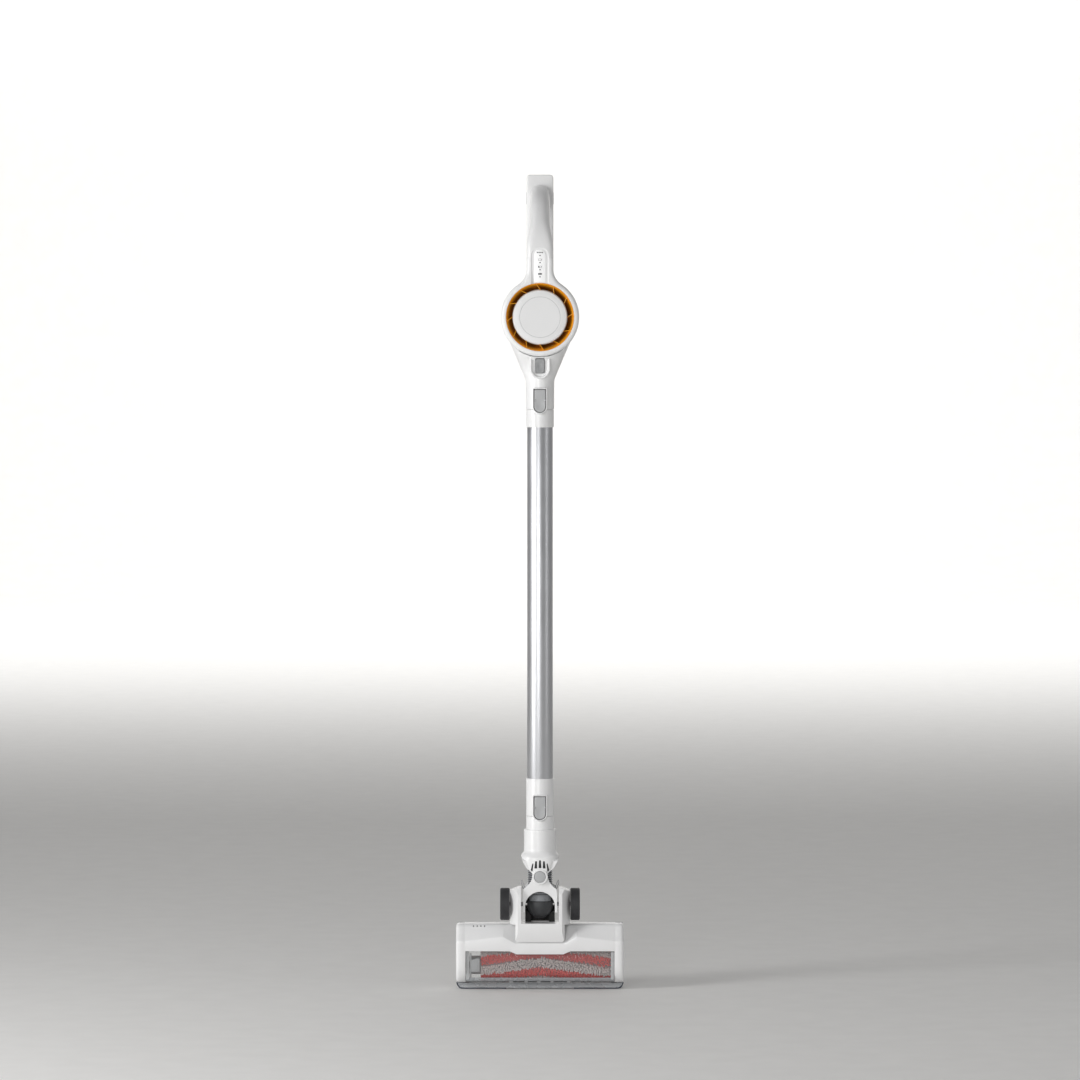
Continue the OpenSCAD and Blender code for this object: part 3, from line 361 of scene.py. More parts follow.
def coats(kinds):
    """The finishes named in a line of words."""
    return [finishes[kind] for kind in kinds.split()]


def build(name, patches, kinds, body, slot, nodes=(), sharp=30, cutters=()):
    """One piece from its patches, in the named finishes, less its cutters, placed on its body."""
    mesh = mesh_of(name, patches, coats(kinds), sharp)
    if cutters:
        mesh = carve(mesh, cutters, sharp)
    return place(name, mesh, body, slot, nodes)


def soften(obj, width, angle=35):
    """A small rounded edge, and normals that keep the flat faces flat."""
    bevel = obj.modifiers.new("edge", "BEVEL")
    bevel.width, bevel.segments, bevel.limit_method = width / 1000, 2, "ANGLE"
    bevel.angle_limit = math.radians(angle)
    bevel.harden_normals = False
    flat = obj.modifiers.new("flat", "WEIGHTED_NORMAL")
    flat.keep_sharp = False


def paint(node, mat, edge=0.0):
    """A frame node keeps its shape and gets a material, and a small rounded edge if its real one has it."""
    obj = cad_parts[node]
    obj.data.materials.clear()
    obj.data.materials.append(mat)
    if edge:
        join = obj.modifiers.new("join", "WELD")
        join.merge_threshold = 1e-5
        soften(obj, edge)
    return obj


# ---- sizes and colours a user would change
class VacuumSizes(bpy.types.PropertyGroup):
    """Sizes of the finished surfaces that the frame leaves open."""

    shoulder: bpy.props.FloatProperty(name="Shoulder", description="Radius of the web from handle to housing",
                                      default=0.024, min=0.01, max=0.03, unit="LENGTH")
    edge: bpy.props.FloatProperty(name="Housing edge", description="Radius of the housing's front edge",
                                  default=0.005, min=0.002, max=0.007, unit="LENGTH")
    grip: bpy.props.FloatProperty(name="Grip width", description="Width of the grip where the hand closes",
                                  default=0.0272, min=0.024, max=0.032, unit="LENGTH")
    groove: bpy.props.FloatProperty(name="Cap groove", description="Radius of the fine ring on the cap",
                                    default=0.0274, min=0.02, max=0.032, unit="LENGTH")
    vanes: bpy.props.IntProperty(name="Vanes", description="Number of guide vanes in the exhaust", default=12,
                                 min=8, max=16)
    tufts: bpy.props.IntProperty(name="Tufts", description="Tufts along the brush roller", default=84, min=40,
                                 max=100)
    pile: bpy.props.FloatProperty(name="Pile", description="Length of the roller's bristles", default=0.0074,
                                  min=0.004, max=0.0075, unit="LENGTH")
    turns: bpy.props.IntProperty(name="Hose turns", description="Ridges of the hose in the neck", default=20,
                                 min=12, max=30)


class VacuumColours(bpy.types.PropertyGroup):
    """Colours of the mouldings, as linear RGB."""

    casing: bpy.props.FloatVectorProperty(name="Casing", description="White of the mouldings",
                                          default=linear("#F4F4F4"), subtype="COLOR")
    cap: bpy.props.FloatVectorProperty(name="Cap", description="White of the exhaust's cap",
                                       default=linear("#EEEEEE"), subtype="COLOR")
    control: bpy.props.FloatVectorProperty(name="Controls", description="Light grey of rockers and pins",
                                           default=linear("#B7B8B9"), subtype="COLOR")
    release: bpy.props.FloatVectorProperty(name="Cup release", description="Grey of the cup's release button",
                                           default=linear("#9A9B9C"), subtype="COLOR")
    dark: bpy.props.FloatVectorProperty(name="Dark mouldings", description="Dark grey of inner mouldings",
                                        default=linear("#3B3C3E"), subtype="COLOR")
    exhaust: bpy.props.FloatVectorProperty(name="Exhaust", description="Orange of the exhaust ring",
                                           default=linear("#F5A01A"), subtype="COLOR")
    tyre: bpy.props.FloatVectorProperty(name="Tyres", description="Dark grey of the wheels",
                                        default=linear("#333335"), subtype="COLOR")
    bristle: bpy.props.FloatVectorProperty(name="Bristles", description="Red of the bristle bands",
                                           default=linear("#E23A2C"), subtype="COLOR")
    bristle_grey: bpy.props.FloatVectorProperty(name="Grey bristles", description="Grey of the bands between",
                                                default=linear("#DBCFCC"), subtype="COLOR")
    tube: bpy.props.FloatVectorProperty(name="Tube", description="Tone of the anodised tube",
                                        default=linear("#CDCED1"), subtype="COLOR")


finishes = {}


def make_finishes(c):
    """All materials, each from what the real one is and how its surface was made."""
    rgb = lambda v: tuple(v)
    f = finishes
    # ABS with a fine spark-eroded texture: soft highlights that stay clean white, no mirror
    f["casing"] = finish("moulded_white_ABS", rgb(c.casing), 0.30, grain=0.5, depth=0.004, Coat_Weight=0.25,
                         Coat_Roughness=0.18)
    # ABS with a finer, flatter texture: an even, slightly greyer white
    f["cap"] = finish("fine_texture_white_ABS", rgb(c.cap), 0.42, grain=0.35, depth=0.005)
    # ABS, light grey, satin: the pads that a thumb presses; the ring set in the cap's groove is painted shade
    # in this grey
    f["control"] = finish("satin_light_grey_ABS", rgb(c.control), 0.38, grain=0.5, depth=0.006)
    # ABS, mid grey, dull: the release button of the cup
    f["release"] = finish("dull_grey_ABS", rgb(c.release), 0.5, grain=0.5, depth=0.01)
    # glass-filled nylon: dark, dull with a visible grain
    f["dark"] = finish("glass_filled_dark_nylon", rgb(c.dark), 0.5, grain=0.8, depth=0.02, swing=0.08)
    # ABS, black, dull: black pieces such as the trigger's switch; on the exhaust's hub and in the gaps round
    # the rockers the black is painted shade
    f["black"] = finish("dull_black_ABS_and_painted_shade", linear("#0E0E0F"), 0.6, grain=0.8, depth=0.01)
    # polycarbonate, orange, polished; its colour runs from orange at the rim to dark brown deeper in, towards
    # the cap: painted shade of the deep groove
    f["exhaust"] = banded("polished_orange_polycarbonate_painted_shade", rgb(c.exhaust), linear("#6B3A06"), 0.26, 1,
                          AXIS_Y + FRONT_Y + 2.0, AXIS_Y + FRONT_Y + 8.5, grain=0.8, depth=0.003)
    f["vane"] = finish("polished_orange_blade", linear("#FFAE2A"), 0.25, grain=0.8, depth=0.003)
    # frosted acrylic over a lamp board: flat bright white, with a faint glow that is painted light, as its
    # lamps are drawn unlit
    f["panel"] = finish("frosted_white_acrylic_painted_glow", linear("#FCFCFC"), 0.3, grain=0.6, depth=0.002,
                        Emission_Color=(1, 1, 1, 1), Emission_Strength=0.12)
    f["print"] = finish("screen_printed_grey_ink", linear("#77787A"), 0.6, grain=0.3, depth=0.002)
    f["lamp"] = finish("unlit_lamp_epoxy", linear("#4E4F52"), 0.2, grain=0.6, depth=0.002)
    # aluminium, drawn and anodised satin: long fine drawing lines stretch the highlights along the tube
    f["tube"] = finish("drawn_anodised_aluminium", rgb(c.tube), 0.34, grain=0.9, depth=0.006, metal=1.0,
                       stretch=(1, 1, 0.02), Anisotropic=0.35)
    # stainless steel, ground: pins and screws
    f["steel"] = finish("ground_stainless_steel", linear("#B9B9BA"), 0.3, grain=0.4, depth=0.006, metal=1.0)
    f["motor"] = finish("pressed_zinc_steel", linear("#8E9093"), 0.42, grain=0.8, depth=0.01, metal=1.0)
    # rubber: dull, dark, with a faint cross grain
    f["rubber"] = finish("moulded_black_rubber", linear("#161617"), 0.72, grain=0.9, depth=0.02)
    f["tyre"] = finish("soft_tyre_rubber", rgb(c.tyre), 0.55, grain=0.9, depth=0.02, swing=0.08)
    # polycarbonate, smoked, polished: the dust shows through, its rim darkens
    f["smoked"] = clear("polished_smoked_polycarbonate", linear("#C9CDD2"), 0.06, 1.585)
    # acrylic, clear: a thin veil with sharp reflections over the roller
    f["window"] = clear("polished_clear_acrylic", linear("#F4F6F7"), 0.03, 1.49, Transmission_Weight=0.0,
                        Alpha=0.06)
    # thermoplastic rubber, see-through grey, moulded thick
    f["bumper"] = clear("grey_translucent_rubber", linear("#C4C7CA"), 0.28, 1.5, Transmission_Weight=0.35,
                        Alpha=0.8)
    f["navy"] = finish("dark_slate_rubber", linear("#3A4250"), 0.6, grain=0.8, depth=0.01)
    # nylon bristle: each tuft scatters its colour, with a dull edge sheen
    f["bristle"] = finish("red_nylon_bristle", rgb(c.bristle), 0.75, grain=1.2, depth=0.05, Sheen_Weight=0.25,
                          Sheen_Roughness=0.5)
    f["bristle_grey"] = finish("grey_nylon_bristle", rgb(c.bristle_grey), 0.75, grain=1.2, depth=0.05,
                               Sheen_Weight=0.25, Sheen_Roughness=0.5)
    f["core"] = finish("moulded_grey_core", linear("#9B9593"), 0.55, grain=0.8, depth=0.01)
    # PVC over a coiled wire: dark valleys between silvery ridges
    f["hose"] = finish("dark_soft_PVC", linear("#4A4B4E"), 0.42, grain=0.7, depth=0.01)
    f["ridge"] = finish("silver_PVC_ridge", linear("#B4B6B9"), 0.32, grain=0.7, depth=0.01, metal=0.35)
    # glass fibre board, solder mask green; filter fleece; cell sleeves; insulated wire
    f["board"] = finish("solder_mask_board", linear("#0F4A2A"), 0.35, grain=1.0, depth=0.01)
    f["fleece"] = finish("pleated_filter_fleece", linear("#E9E8E2"), 0.9, grain=1.5, depth=0.12,
                         stretch=(1, 0.1, 1), Sheen_Weight=0.3)
    f["cells"] = finish("shrink_sleeved_cells", linear("#4C6E92"), 0.3, grain=1.0, depth=0.004)
    f["wire"] = finish("insulated_copper_wire", linear("#8A4A2A"), 0.45, grain=1.0, depth=0.01)


# ---- the round housing and the handle
HOUSING_R, HANDLE_HALF = 53.0, 18.2
SEAM_Y, FLANGE_Y = -30.9, -17  # back of the front half, and back of the housing
ROOT_HALF, ROOT_DEPTH = 18.22, 16.04  # half width and half depth of the handle at its root
TRIGGER_UP = 84  # from the housing's centre up to the trigger's
GRIP_CUT = 0.215  # share of the grip's line that lies inside the housing
MOTOR_AXIS = (0, BODY_Z)
ROOT_Y = FRONT_Y + 17
GRIP_LINE = np.array([[ROOT_Y, BODY_Z + 30], [ROOT_Y, BODY_Z + 59], [ROOT_Y, BODY_Z + 88],
                      [ROOT_Y + 7, BODY_Z + 112],
                      [ROOT_Y + 20, BODY_Z + 130.5], [-3, BODY_Z + 146], [16, BODY_Z + 157.5],
                      [35.0, BODY_Z + 165]])


def flowing(points, n):
    """A smooth line through the points: between two of them the cubic whose slopes are half the step between
    their neighbours."""
    p = np.asarray(points, float)
    m = np.gradient(p, axis=0)
    s = np.linspace(0, len(p) - 1 - 1e-9, n)
    i = s.astype(int)
    t = (s - i)[:, None]
    h = 2 * t**3 - 3 * t**2 + 1, t**3 - 2 * t**2 + t, 3 * t**2 - 2 * t**3, t**3 - t**2
    return h[0] * p[i] + h[1] * m[i] + h[2] * p[i + 1] + h[3] * m[i + 1]


def silhouette(n=420):
    """Outline of the housing with the root of the handle: a circle, the handle's straight sides, and a
    fillet between."""
    r, w, f = HOUSING_R, HANDLE_HALF, bpy.context.scene.vacuum_sizes.shoulder * 1000
    # the fillet's centre is f outside both the circle and the side
    cx = w + f
    cz = math.sqrt((r + f) ** 2 - cx**2)
    a0 = math.degrees(math.atan2(cz, cx))
    web = arc(cx, cz, f, a0 + 180, 180, 16)
    side = np.concatenate([[[w, cz + 2]], arc(w - 12, 76, 12, 0, 90, 12), [[0.0, 88.0]]])
    disc = arc(0, 0, r, -90, a0, 90)
    half = np.concatenate([disc, web[1:], side])
    line = np.concatenate([half, (half * [-1, 1])[::-1][1:-1]])
    return evened(line, n) + [0, BODY_Z]


def grip_station(n=72):
    """Centre, normal towards the front, half width, half thickness and roundness along the grip's line."""
    c = flowing(GRIP_LINE, n)
    d = np.gradient(c, axis=0)
    d /= np.linalg.norm(d, axis=1)[:, None]
    normal = np.stack([-d[:, 1], d[:, 0]], -1)
    z = c[:, 1] - BODY_Z
    narrow = bpy.context.scene.vacuum_sizes.grip * 500
    width = ROOT_HALF + (narrow - ROOT_HALF) * eased(z, 92, 128)
    thick = ROOT_DEPTH - 1.0 * eased(z, 92, 130)
    power = 4.6 - 2.2 * eased(z, 84, 130)
    split = 8.0 * (1 - eased(z, 92, 130))
    return c, normal, width, thick, power, split


def grip_half(front, n=72, m=40):
    """Half of the grip: across each station x is w |cos t|^(2/k) and the depth h |sin t|^(2/k), signed, cut
    at the seam."""
    c, normal, w, h, k, split = grip_station(n)
    low = -np.arcsin(np.clip(split / h, 0, 1) ** (k / 2))
    t0, t1 = (low, math.pi - low) if front else (math.pi - low, 2 * math.pi + low)
    t = t0[:, None] + (t1 - t0)[:, None] * np.linspace(0, 1, m)[None]
    x = w[:, None] * np.sign(np.cos(t)) * np.abs(np.cos(t)) ** (2 / k[:, None])
    d = h[:, None] * np.sign(np.sin(t)) * np.abs(np.sin(t)) ** (2 / k[:, None])
    gap = -0.12 if front else 0.12
    yz = c[:, None] + normal[:, None] * d[..., None]
    p = np.stack([x, yz[..., 0] + gap, yz[..., 1]], -1)
    return p


def make_housing():
    """Front and rear halves of the round housing with the handle on top."""
    edge = bpy.context.scene.vacuum_sizes.edge * 1000
    line = silhouette()
    hole, rim = 46.1, -31.1  # radius of the exhaust's opening, and where the front half ends
    a = np.linspace(0, math.pi / 2, 7)
    rings = [lift(line, rim, "y")]
    rings += [lift(inset(line, edge - edge * math.cos(t)), FRONT_Y + edge - edge * math.sin(t),
                   "y") for t in a]
    flat = inset(line, edge)
    turn = np.arctan2(flat[:, 1] - BODY_Z, flat[:, 0])
    circle = np.stack([hole * np.cos(turn), BODY_Z + hole * np.sin(turn)], -1)
    rings += [lift(flat + (circle - flat) * k, FRONT_Y, "y") for k in (0.25, 0.5, 0.75, 0.97)]
    rings += [lift(swollen(circle, 1.0), FRONT_Y + 0.35, "y"), lift(swollen(circle, 1.0), FRONT_Y + 4, "y"),
              lift(swollen(circle, 1.09), FRONT_Y + 9, "y"), lift(swollen(circle, 1.09), rim, "y")]
    shell = np.stack(rings)
    # the face leans back by 0.9 where it runs into the grip
    shell[..., 1] += 0.9 * eased(shell[..., 2], BODY_Z + 50, BODY_Z + 64) * (shell[..., 1] < FRONT_Y + 8)
    shell = shell, True, True, False, 0
    start = int(72 * GRIP_CUT)
    front_grip = grip_half(True)[start:], False, True, True, 0
    # the trigger's slot: an opening at the back, and a pocket in which its lips travel
    room = lambda y0, y1, h: slab(rect(y0, BODY_Z + TRIGGER_UP - h, y1, BODY_Z + TRIGGER_UP + h),
                                  [(0, -5.8), (0, 5.8)], "x")
    trigger_slot = [room(ROOT_Y + 12, ROOT_Y + 32, 13.7), room(ROOT_Y - 8, ROOT_Y + 13.2, 15.3)]
    # the panel's recess: its floor in the grip lies a little higher, so that the two floors never coincide
    recess = lambda deep: slab(recess_line(12.0), [(0, FRONT_Y - 3), (0, FRONT_Y + deep),
                                                   (0.8, FRONT_Y + deep + 0.7)], "y")
    build("housing_front", [shell], "casing", "handheld", "white_plastic", ["body_front_shell"],
          cutters=[*trigger_slot, recess(1.1)])
    build("grip_front", [front_grip], "casing", "handheld", "white_plastic",
          cutters=[*trigger_slot, recess(0.95)])
    back = [lathe(rounded([[HOUSING_R, SEAM_Y], [HOUSING_R, FLANGE_Y], [25.2, FLANGE_Y], [25.2, -19.4],
                           [50.6, -19.4], [50.6, SEAM_Y]], 0.8), "y", MOTOR_AXIS, 160)]
    root = silhouette()
    root = root[(root[:, 1] > BODY_Z + 30) & (np.abs(root[:, 0]) < 34)]
    root = root[np.argsort(np.arctan2(root[:, 0], root[:, 1] - BODY_Z))]
    ledge = np.concatenate([root, [[34, BODY_Z + 30], [-34, BODY_Z + 30]]])
    back.append(slab(evened(ledge, 240), [(0, SEAM_Y), (0, -26.5), (0.5, -24.9), (1.6, -23.6), (3.2, -23.0)],
                     "y"))
    build("housing_rear", back, "casing", "handheld", "white_plastic", ["body_rear_shell"])
    rear_grip = grip_half(False)[start:], False, True, True, 0
    build("grip_rear", [rear_grip], "casing", "handheld", "white_plastic", cutters=trigger_slot)


def swollen(circle, k):
    """A circle round the housing's centre made larger by k."""
    return (circle - [0, BODY_Z]) * k + [0, BODY_Z]


def recess_line(half):
    """The outline of the panel's recess: straight sides from the exhaust ring up to a half circle."""
    top = BODY_Z + 94.6 - 12.0
    return evened(np.concatenate([[[-half, BODY_Z + 43.0], [half, BODY_Z + 43.0]],
                                  arc(0, top, half, 0, 180, 24)]), 120)


def make_panel():
    """The pill in the recess, which glows with painted light, its four unlit lamps, and a plain battery
    symbol over each, full to empty.
    """
    w, z0, z1 = 7.7, BODY_Z + 47.0, BODY_Z + 91.0
    line = evened(rounded(np.concatenate([[[-w, z0], [w, z0]], arc(0, z1 - w, w, 0, 180, 24)]),
                          np.r_[1.2, 1.2, np.zeros(25)]), 120)
    y = FRONT_Y + 0.9
    plate = slab(line, [(0, y + 1.6), (0, y + 0.35), (0.12, y + 0.1), (0.4, y)], "y")
    lamps, signs = [], []
    for i in range(4):
        z = BODY_Z + 54.3 + 9.6 * i
        lamps.append(slab(arc(0, z, 0.95, 0, 345, 23), [(0, y + 0.6), (0, y - 0.05), (0.3, y - 0.12)], "y"))
        if i == 3:
            for x in (-3.4, -1.15, 1.15, 3.4):
                signs.append(slab(rounded(rect(x - 0.85, z + 3.2, x + 0.85, z + 4.9), 0.3),
                                  [(0, y + 0.5), (0, y - 0.05)], "y"))
            continue
        outer = rounded(rect(-2.6, z + 2.7, 2.2, z + 5.3), 0.5)
        signs.append(slab(outer, [(0, y + 0.5), (0, y - 0.05), (0.42, y - 0.05), (0.42, y + 0.5)], "y",
                          closed=True))
        signs.append(slab(rect(2.3, z + 3.4, 2.8, z + 4.6), [(0, y + 0.5), (0, y - 0.05)], "y"))
        fill = -2.6 + 4.8 * (2 - i) / 2
        if fill > -2.0:
            signs.append(slab(rect(-2.1, z + 3.2, fill - 0.4, z + 4.8), [(0, y + 0.5), (0, y - 0.05)], "y"))
    build("indicator_panel", [plate], "panel", "handheld", "lit_panel", ["display_panel"])
    build("panel_lamps", lamps, "lamp", "handheld", "lamp", ["display_leds"])
    build("panel_symbols", signs, "print", "handheld", "lamp")


def make_exhaust():
    """The orange bowl between housing and cap, darkened inwards by painted shade, its slanted blades, the
    hub, black as painted shade, and the white cap with a grey ring of painted shade in its groove.
    """
    f = FRONT_Y
    cap_r, hub_r = 36.5, 34.5
    bowl = np.array([[45.9, f + 0.5], [45.9, f + 4], [44, f + 11], [37, f + 12.5], [34.6, f + 12.5],
                     [34.6, f + 11.2], [37.5, f + 10.6], [40.5, f + 8.6], [42.6, f + 5.6], [44.2, f + 2.4],
                     [45.0, f + 0.5]])
    ring = lathe(rounded(bowl, 0.7, 3), "y", MOTOR_AXIS, 160)
    # the hub is a real part, but its black stands in for the shade deep in the groove: painted shade
    hub = lathe([[hub_r, f + 3.4], [hub_r, f + 12.6], [hub_r - 2, f + 12.6], [hub_r - 2, f + 3.4]], "y",
                MOTOR_AXIS, 120, 1)
    build("exhaust_ring", [ring, hub], "exhaust black", "handheld", "orange_plastic", ["exhaust_grille"])
    blades, count = [], bpy.context.scene.vacuum_sizes.vanes
    s = np.linspace(0, 1, 9)
    for i in range(count):
        turn = math.radians(360 / count * i + 6) - math.radians(9) * (1 - s) ** 1.3
        r = hub_r + 0.5 + (44.6 - hub_r - 0.5) * s
        top = f + 1.1 + 2.2 * (1 - s)
        deep = f + 3.0 + 8.2 * (1 - s) ** 0.6
        wide = 0.42 / r
        pts = [(turn + wide, top), (turn - wide, top), (turn - wide, deep), (turn + wide, deep)]
        p = np.stack([np.stack([r * np.cos(a), y, BODY_Z + r * np.sin(a)], -1) for a, y in pts], 1)
        blades.append((p, False, True, True, 0))
    build("exhaust_blades", blades, "vane", "handheld", "orange_plastic")
    g = bpy.context.scene.vacuum_sizes.groove * 1000
    cap = [[0, f - 0.98], [g - 0.45, f - 0.86], [g - 0.12, f - 0.5], [g + 0.12, f - 0.5],
           [g + 0.45, f - 0.84], [cap_r - 2.2, f - 0.62], [cap_r - 0.9, f - 0.3], [cap_r - 0.15, f + 0.6],
           [cap_r, f + 1.6], [cap_r, f + 3.0], [hub_r - 2.1, f + 3.2], [hub_r - 2.1, f + 6], [0, f + 6]]
    # a grey ring set into the cap's groove, darker than the cap: painted shade in the groove
    line = lathe([[g - 0.22, f - 0.6], [g + 0.22, f - 0.6], [g + 0.22, f - 0.3], [g - 0.22, f - 0.3]], "y",
                 MOTOR_AXIS, 160, 1)
    build("exhaust_cap_disc", [lathe(cap, "y", MOTOR_AXIS, 160, 0, False), line], "cap control", "handheld",
          "white_plastic", ["exhaust_cap"], sharp=25)


# ---- couplings, rockers and the neck under the housing
LOW_SEAM, TOP_SEAM = 237.2, 790.7
NECK_TOP = TOP_SEAM + 40
SPIGOT_R, DUCT_R, SOCKET_R, COLLAR_R, NECK_R = 16.3, 14.1, 16.5, 18.9, 19.2
TUBE_R, TUBE_BORE, TUBE_SEAT = 17.5, 16.6, 17.55
ROCKER_PIVOT_Y, ROCKER_FRONT_Y = -20.3, -22.9
TOP_COLLAR_Z, LOW_SLEEVE_Z = 766.2, 288.2  # ends of the connectors that cover the tube
ROCKER_RISE = 12.7  # mm from a seam up to the middle of its rocker


def shield(w, top, bottom, cz=0.0, n=14):
    """Flat top with rounded corners, straight sides and a half-round foot, evened round its length."""
    foot = arc(0, bottom + w / 2, w / 2, 180, 360, n)
    body = np.concatenate([[[w / 2, top], [-w / 2, top]], foot])
    return evened(rounded(body, np.r_[1.6, 1.6, np.zeros(n + 1)]), 96) + [0, cz]


def key_cuts(seam):
    """The front tongue's room below a spigot's seam, and the keyway above it."""
    tongue = slab(rect(-10.9, seam - 6.6, 10.9, seam + 1), [(0, -40), (0, -16.35)], "y")
    return [tongue, slab(rect(-3.8, seam + 20, 3.8, seam + 50), [(0, -40), (0, -14.85)], "y")]


def spigot(seam, foot):
    """Half section of a plug that ends 44 above the seam, with its collar, which runs down to the foot."""
    return [[DUCT_R, foot], [DUCT_R, seam + 44], [SPIGOT_R, seam + 44], [SPIGOT_R, seam - 0.35],
            [COLLAR_R, seam - 0.35], [COLLAR_R, foot]]


def rocker_window(seam):
    """The opening in which a rocker sits above a seam."""
    return slab(shield(16.9, 15.0, -17.4, seam + ROCKER_RISE), [(0, -40), (0, -14.5)], "y")


def make_rockers():
    """The two wand releases: a pad with a thumb hollow, and two pivot bumps."""
    for name, seam, body in (("upper_rocker", TOP_SEAM, "upper_rocker"),
                             ("lower_rocker", LOW_SEAM, "lower_rocker")):
        z = seam + ROCKER_RISE
        line = shield(15.4, 14.2, -16.6, z)

        def hollow(x, zz, z=z):
            """A round hollow low on the pad, and a crown that falls to both sides."""
            return 0.9 * np.exp(-((x / 5.6) ** 2 + ((zz - z + 6.5) / 7.0) ** 2)) + 0.0045 * x**2

        pad = dished(line, ROCKER_FRONT_Y, 1.3, hollow, depth=3.6)
        bumps = [lathe([[0, s * 6.0], [1.5, s * 6.0], [1.9, s * 6.6], [1.9, s * 7.7], [0, s * 7.7]], "x",
                       (ROCKER_PIVOT_Y - 1.4, z), 24, 0, False) for s in (-1, 1)]
        tooth = slab(rect(-3.2, z + 10.0, 3.2, z + 13.6), [(0, -20.0), (0, -15.1)], "y")
        build(name + "_pad", [pad, *bumps, tooth], "control", body, "light_grey_plastic", [name])


def rocker_frame(seam):
    """The raised lip round a rocker, closed round its section, with a black sheet in the gap whose black is
    painted shade.
    """
    z = seam + ROCKER_RISE
    line = shield(20.2, 16.4, -18.8, z)
    lip = slab(line, [(0, -17.0), (0, -22.4), (0.25, -23.1), (0.7, -23.4), (1.15, -23.1), (1.45, -22.5),
                      (1.6, -17.0)], "y", closed=True)
    # black sheet in the gap round the rocker: painted shade
    painted_shade_lining = slab(inset(line, 1.62), [(0, -17.4), (0, -21.4), (0.12, -21.4), (0.12, -17.4)], "y", 1,
                  closed=True)
    return [lip, painted_shade_lining]


def make_inlet_neck():
    """The neck under the housing: a round socket that widens into the funnel which carries the housing."""
    n, m = 46, 96
    z = np.concatenate([np.linspace(TOP_SEAM, TOP_SEAM + 1.0, 3), np.linspace(TOP_SEAM + 2, NECK_TOP - 6, 8),
                        np.linspace(NECK_TOP - 4, BODY_Z - 24, n - 11)])
    lip = 0.6 * (1 - np.clip((z - TOP_SEAM) / 0.8, 0, 1)) ** 2
    rise = z - NECK_TOP
    wide = NECK_R + 0.1 - lip + 0.43 * 0.5 * (rise + np.sqrt(rise**2 + 9.0))
    front = NECK_R + 0.1 - lip + 26.0 * eased(z, NECK_TOP + 8, NECK_TOP + 48)
    back = NECK_R + 0.1 - lip + 3.0 * eased(z, NECK_TOP, NECK_TOP + 24)
    power = 2.0 + 1.0 * eased(z, NECK_TOP, NECK_TOP + 30)
    t = np.linspace(0, 2 * math.pi, m, endpoint=False)[None]
    k = 2 / power[:, None]
    x = wide[:, None] * np.sign(np.cos(t)) * np.abs(np.cos(t)) ** k
    s = np.sign(np.sin(t)) * np.abs(np.sin(t)) ** k
    y = np.where(s < 0, front[:, None] * s, back[:, None] * s)
    p = np.stack([x, y, np.broadcast_to(z[:, None], x.shape)], -1)
    mesh = mesh_of("inlet_neck_body", [(p, False, True, True, 0)], coats("casing black dark"))
    boss = evened(rounded(np.concatenate([[[14, NECK_TOP + 40], [-14, NECK_TOP + 40]],
                                          arc(0, NECK_TOP + 15.2, 14, 180, 360, 16)]), 0), 120)
    mid = NECK_TOP + 19.2
    cut = [
        lathe([[0, -80], [54.1, -80], [54.1, SEAM_Y], [53.25, SEAM_Y], [53.25, -16.75], [0, -16.75]], "y",
              MOTOR_AXIS, 160, 0, False),
        rod(50.35, -17.5, 60, "y", MOTOR_AXIS, 160),
        lathe([[0, TOP_SEAM - 5], [SOCKET_R, TOP_SEAM - 5], [SOCKET_R, TOP_SEAM + 45],
               [DUCT_R, TOP_SEAM + 45], [DUCT_R, 880], [0, 880]], "z", (0, 0), 96, 0, False),
        rocker_window(TOP_SEAM),
    ]
    mesh = carve(mesh, cut)
    boss_ring = slab(boss, [(0, -17), (0, -31.6), (0.5, -32.6), (1.4, -33.0), (2.4, -32.6), (3.4, -31.2),
                            (3.9, -17)], "y", closed=True)
    boss_floor = slab(inset(boss, 3.0), [(0, -18), (0, -29.6)], "y")
    well = slab(evened(rounded(rect(-6.6, mid - 10.4, 6.6, mid + 10.4), 2.2), 96), [(0, -45), (0, -17.1)],
                "y")
    place("inlet_neck_body", carve(mesh, [well]), "handheld", "white_plastic", ["inlet_neck"])
    build("inlet_boss", [boss_ring, boss_floor], "casing", "handheld", "white_plastic",
          cutters=[well, cut[0]])
    build("upper_rocker_frame", rocker_frame(TOP_SEAM), "casing black", "handheld", "white_plastic")
    line = evened(rounded(rect(-6.1, mid - 9.9, 6.1, mid + 9.9), 2.0), 96)
    scoop = lambda x, zz: 1.3 * np.exp(-((x / 4.2) ** 2 + ((zz - mid + 1) / 5.5) ** 2))
    build("cup_release", [dished(line, -31.7, 1.0, scoop, depth=5.2)], "release", "cup_button",
          "grey_plastic", ["cup_button"])


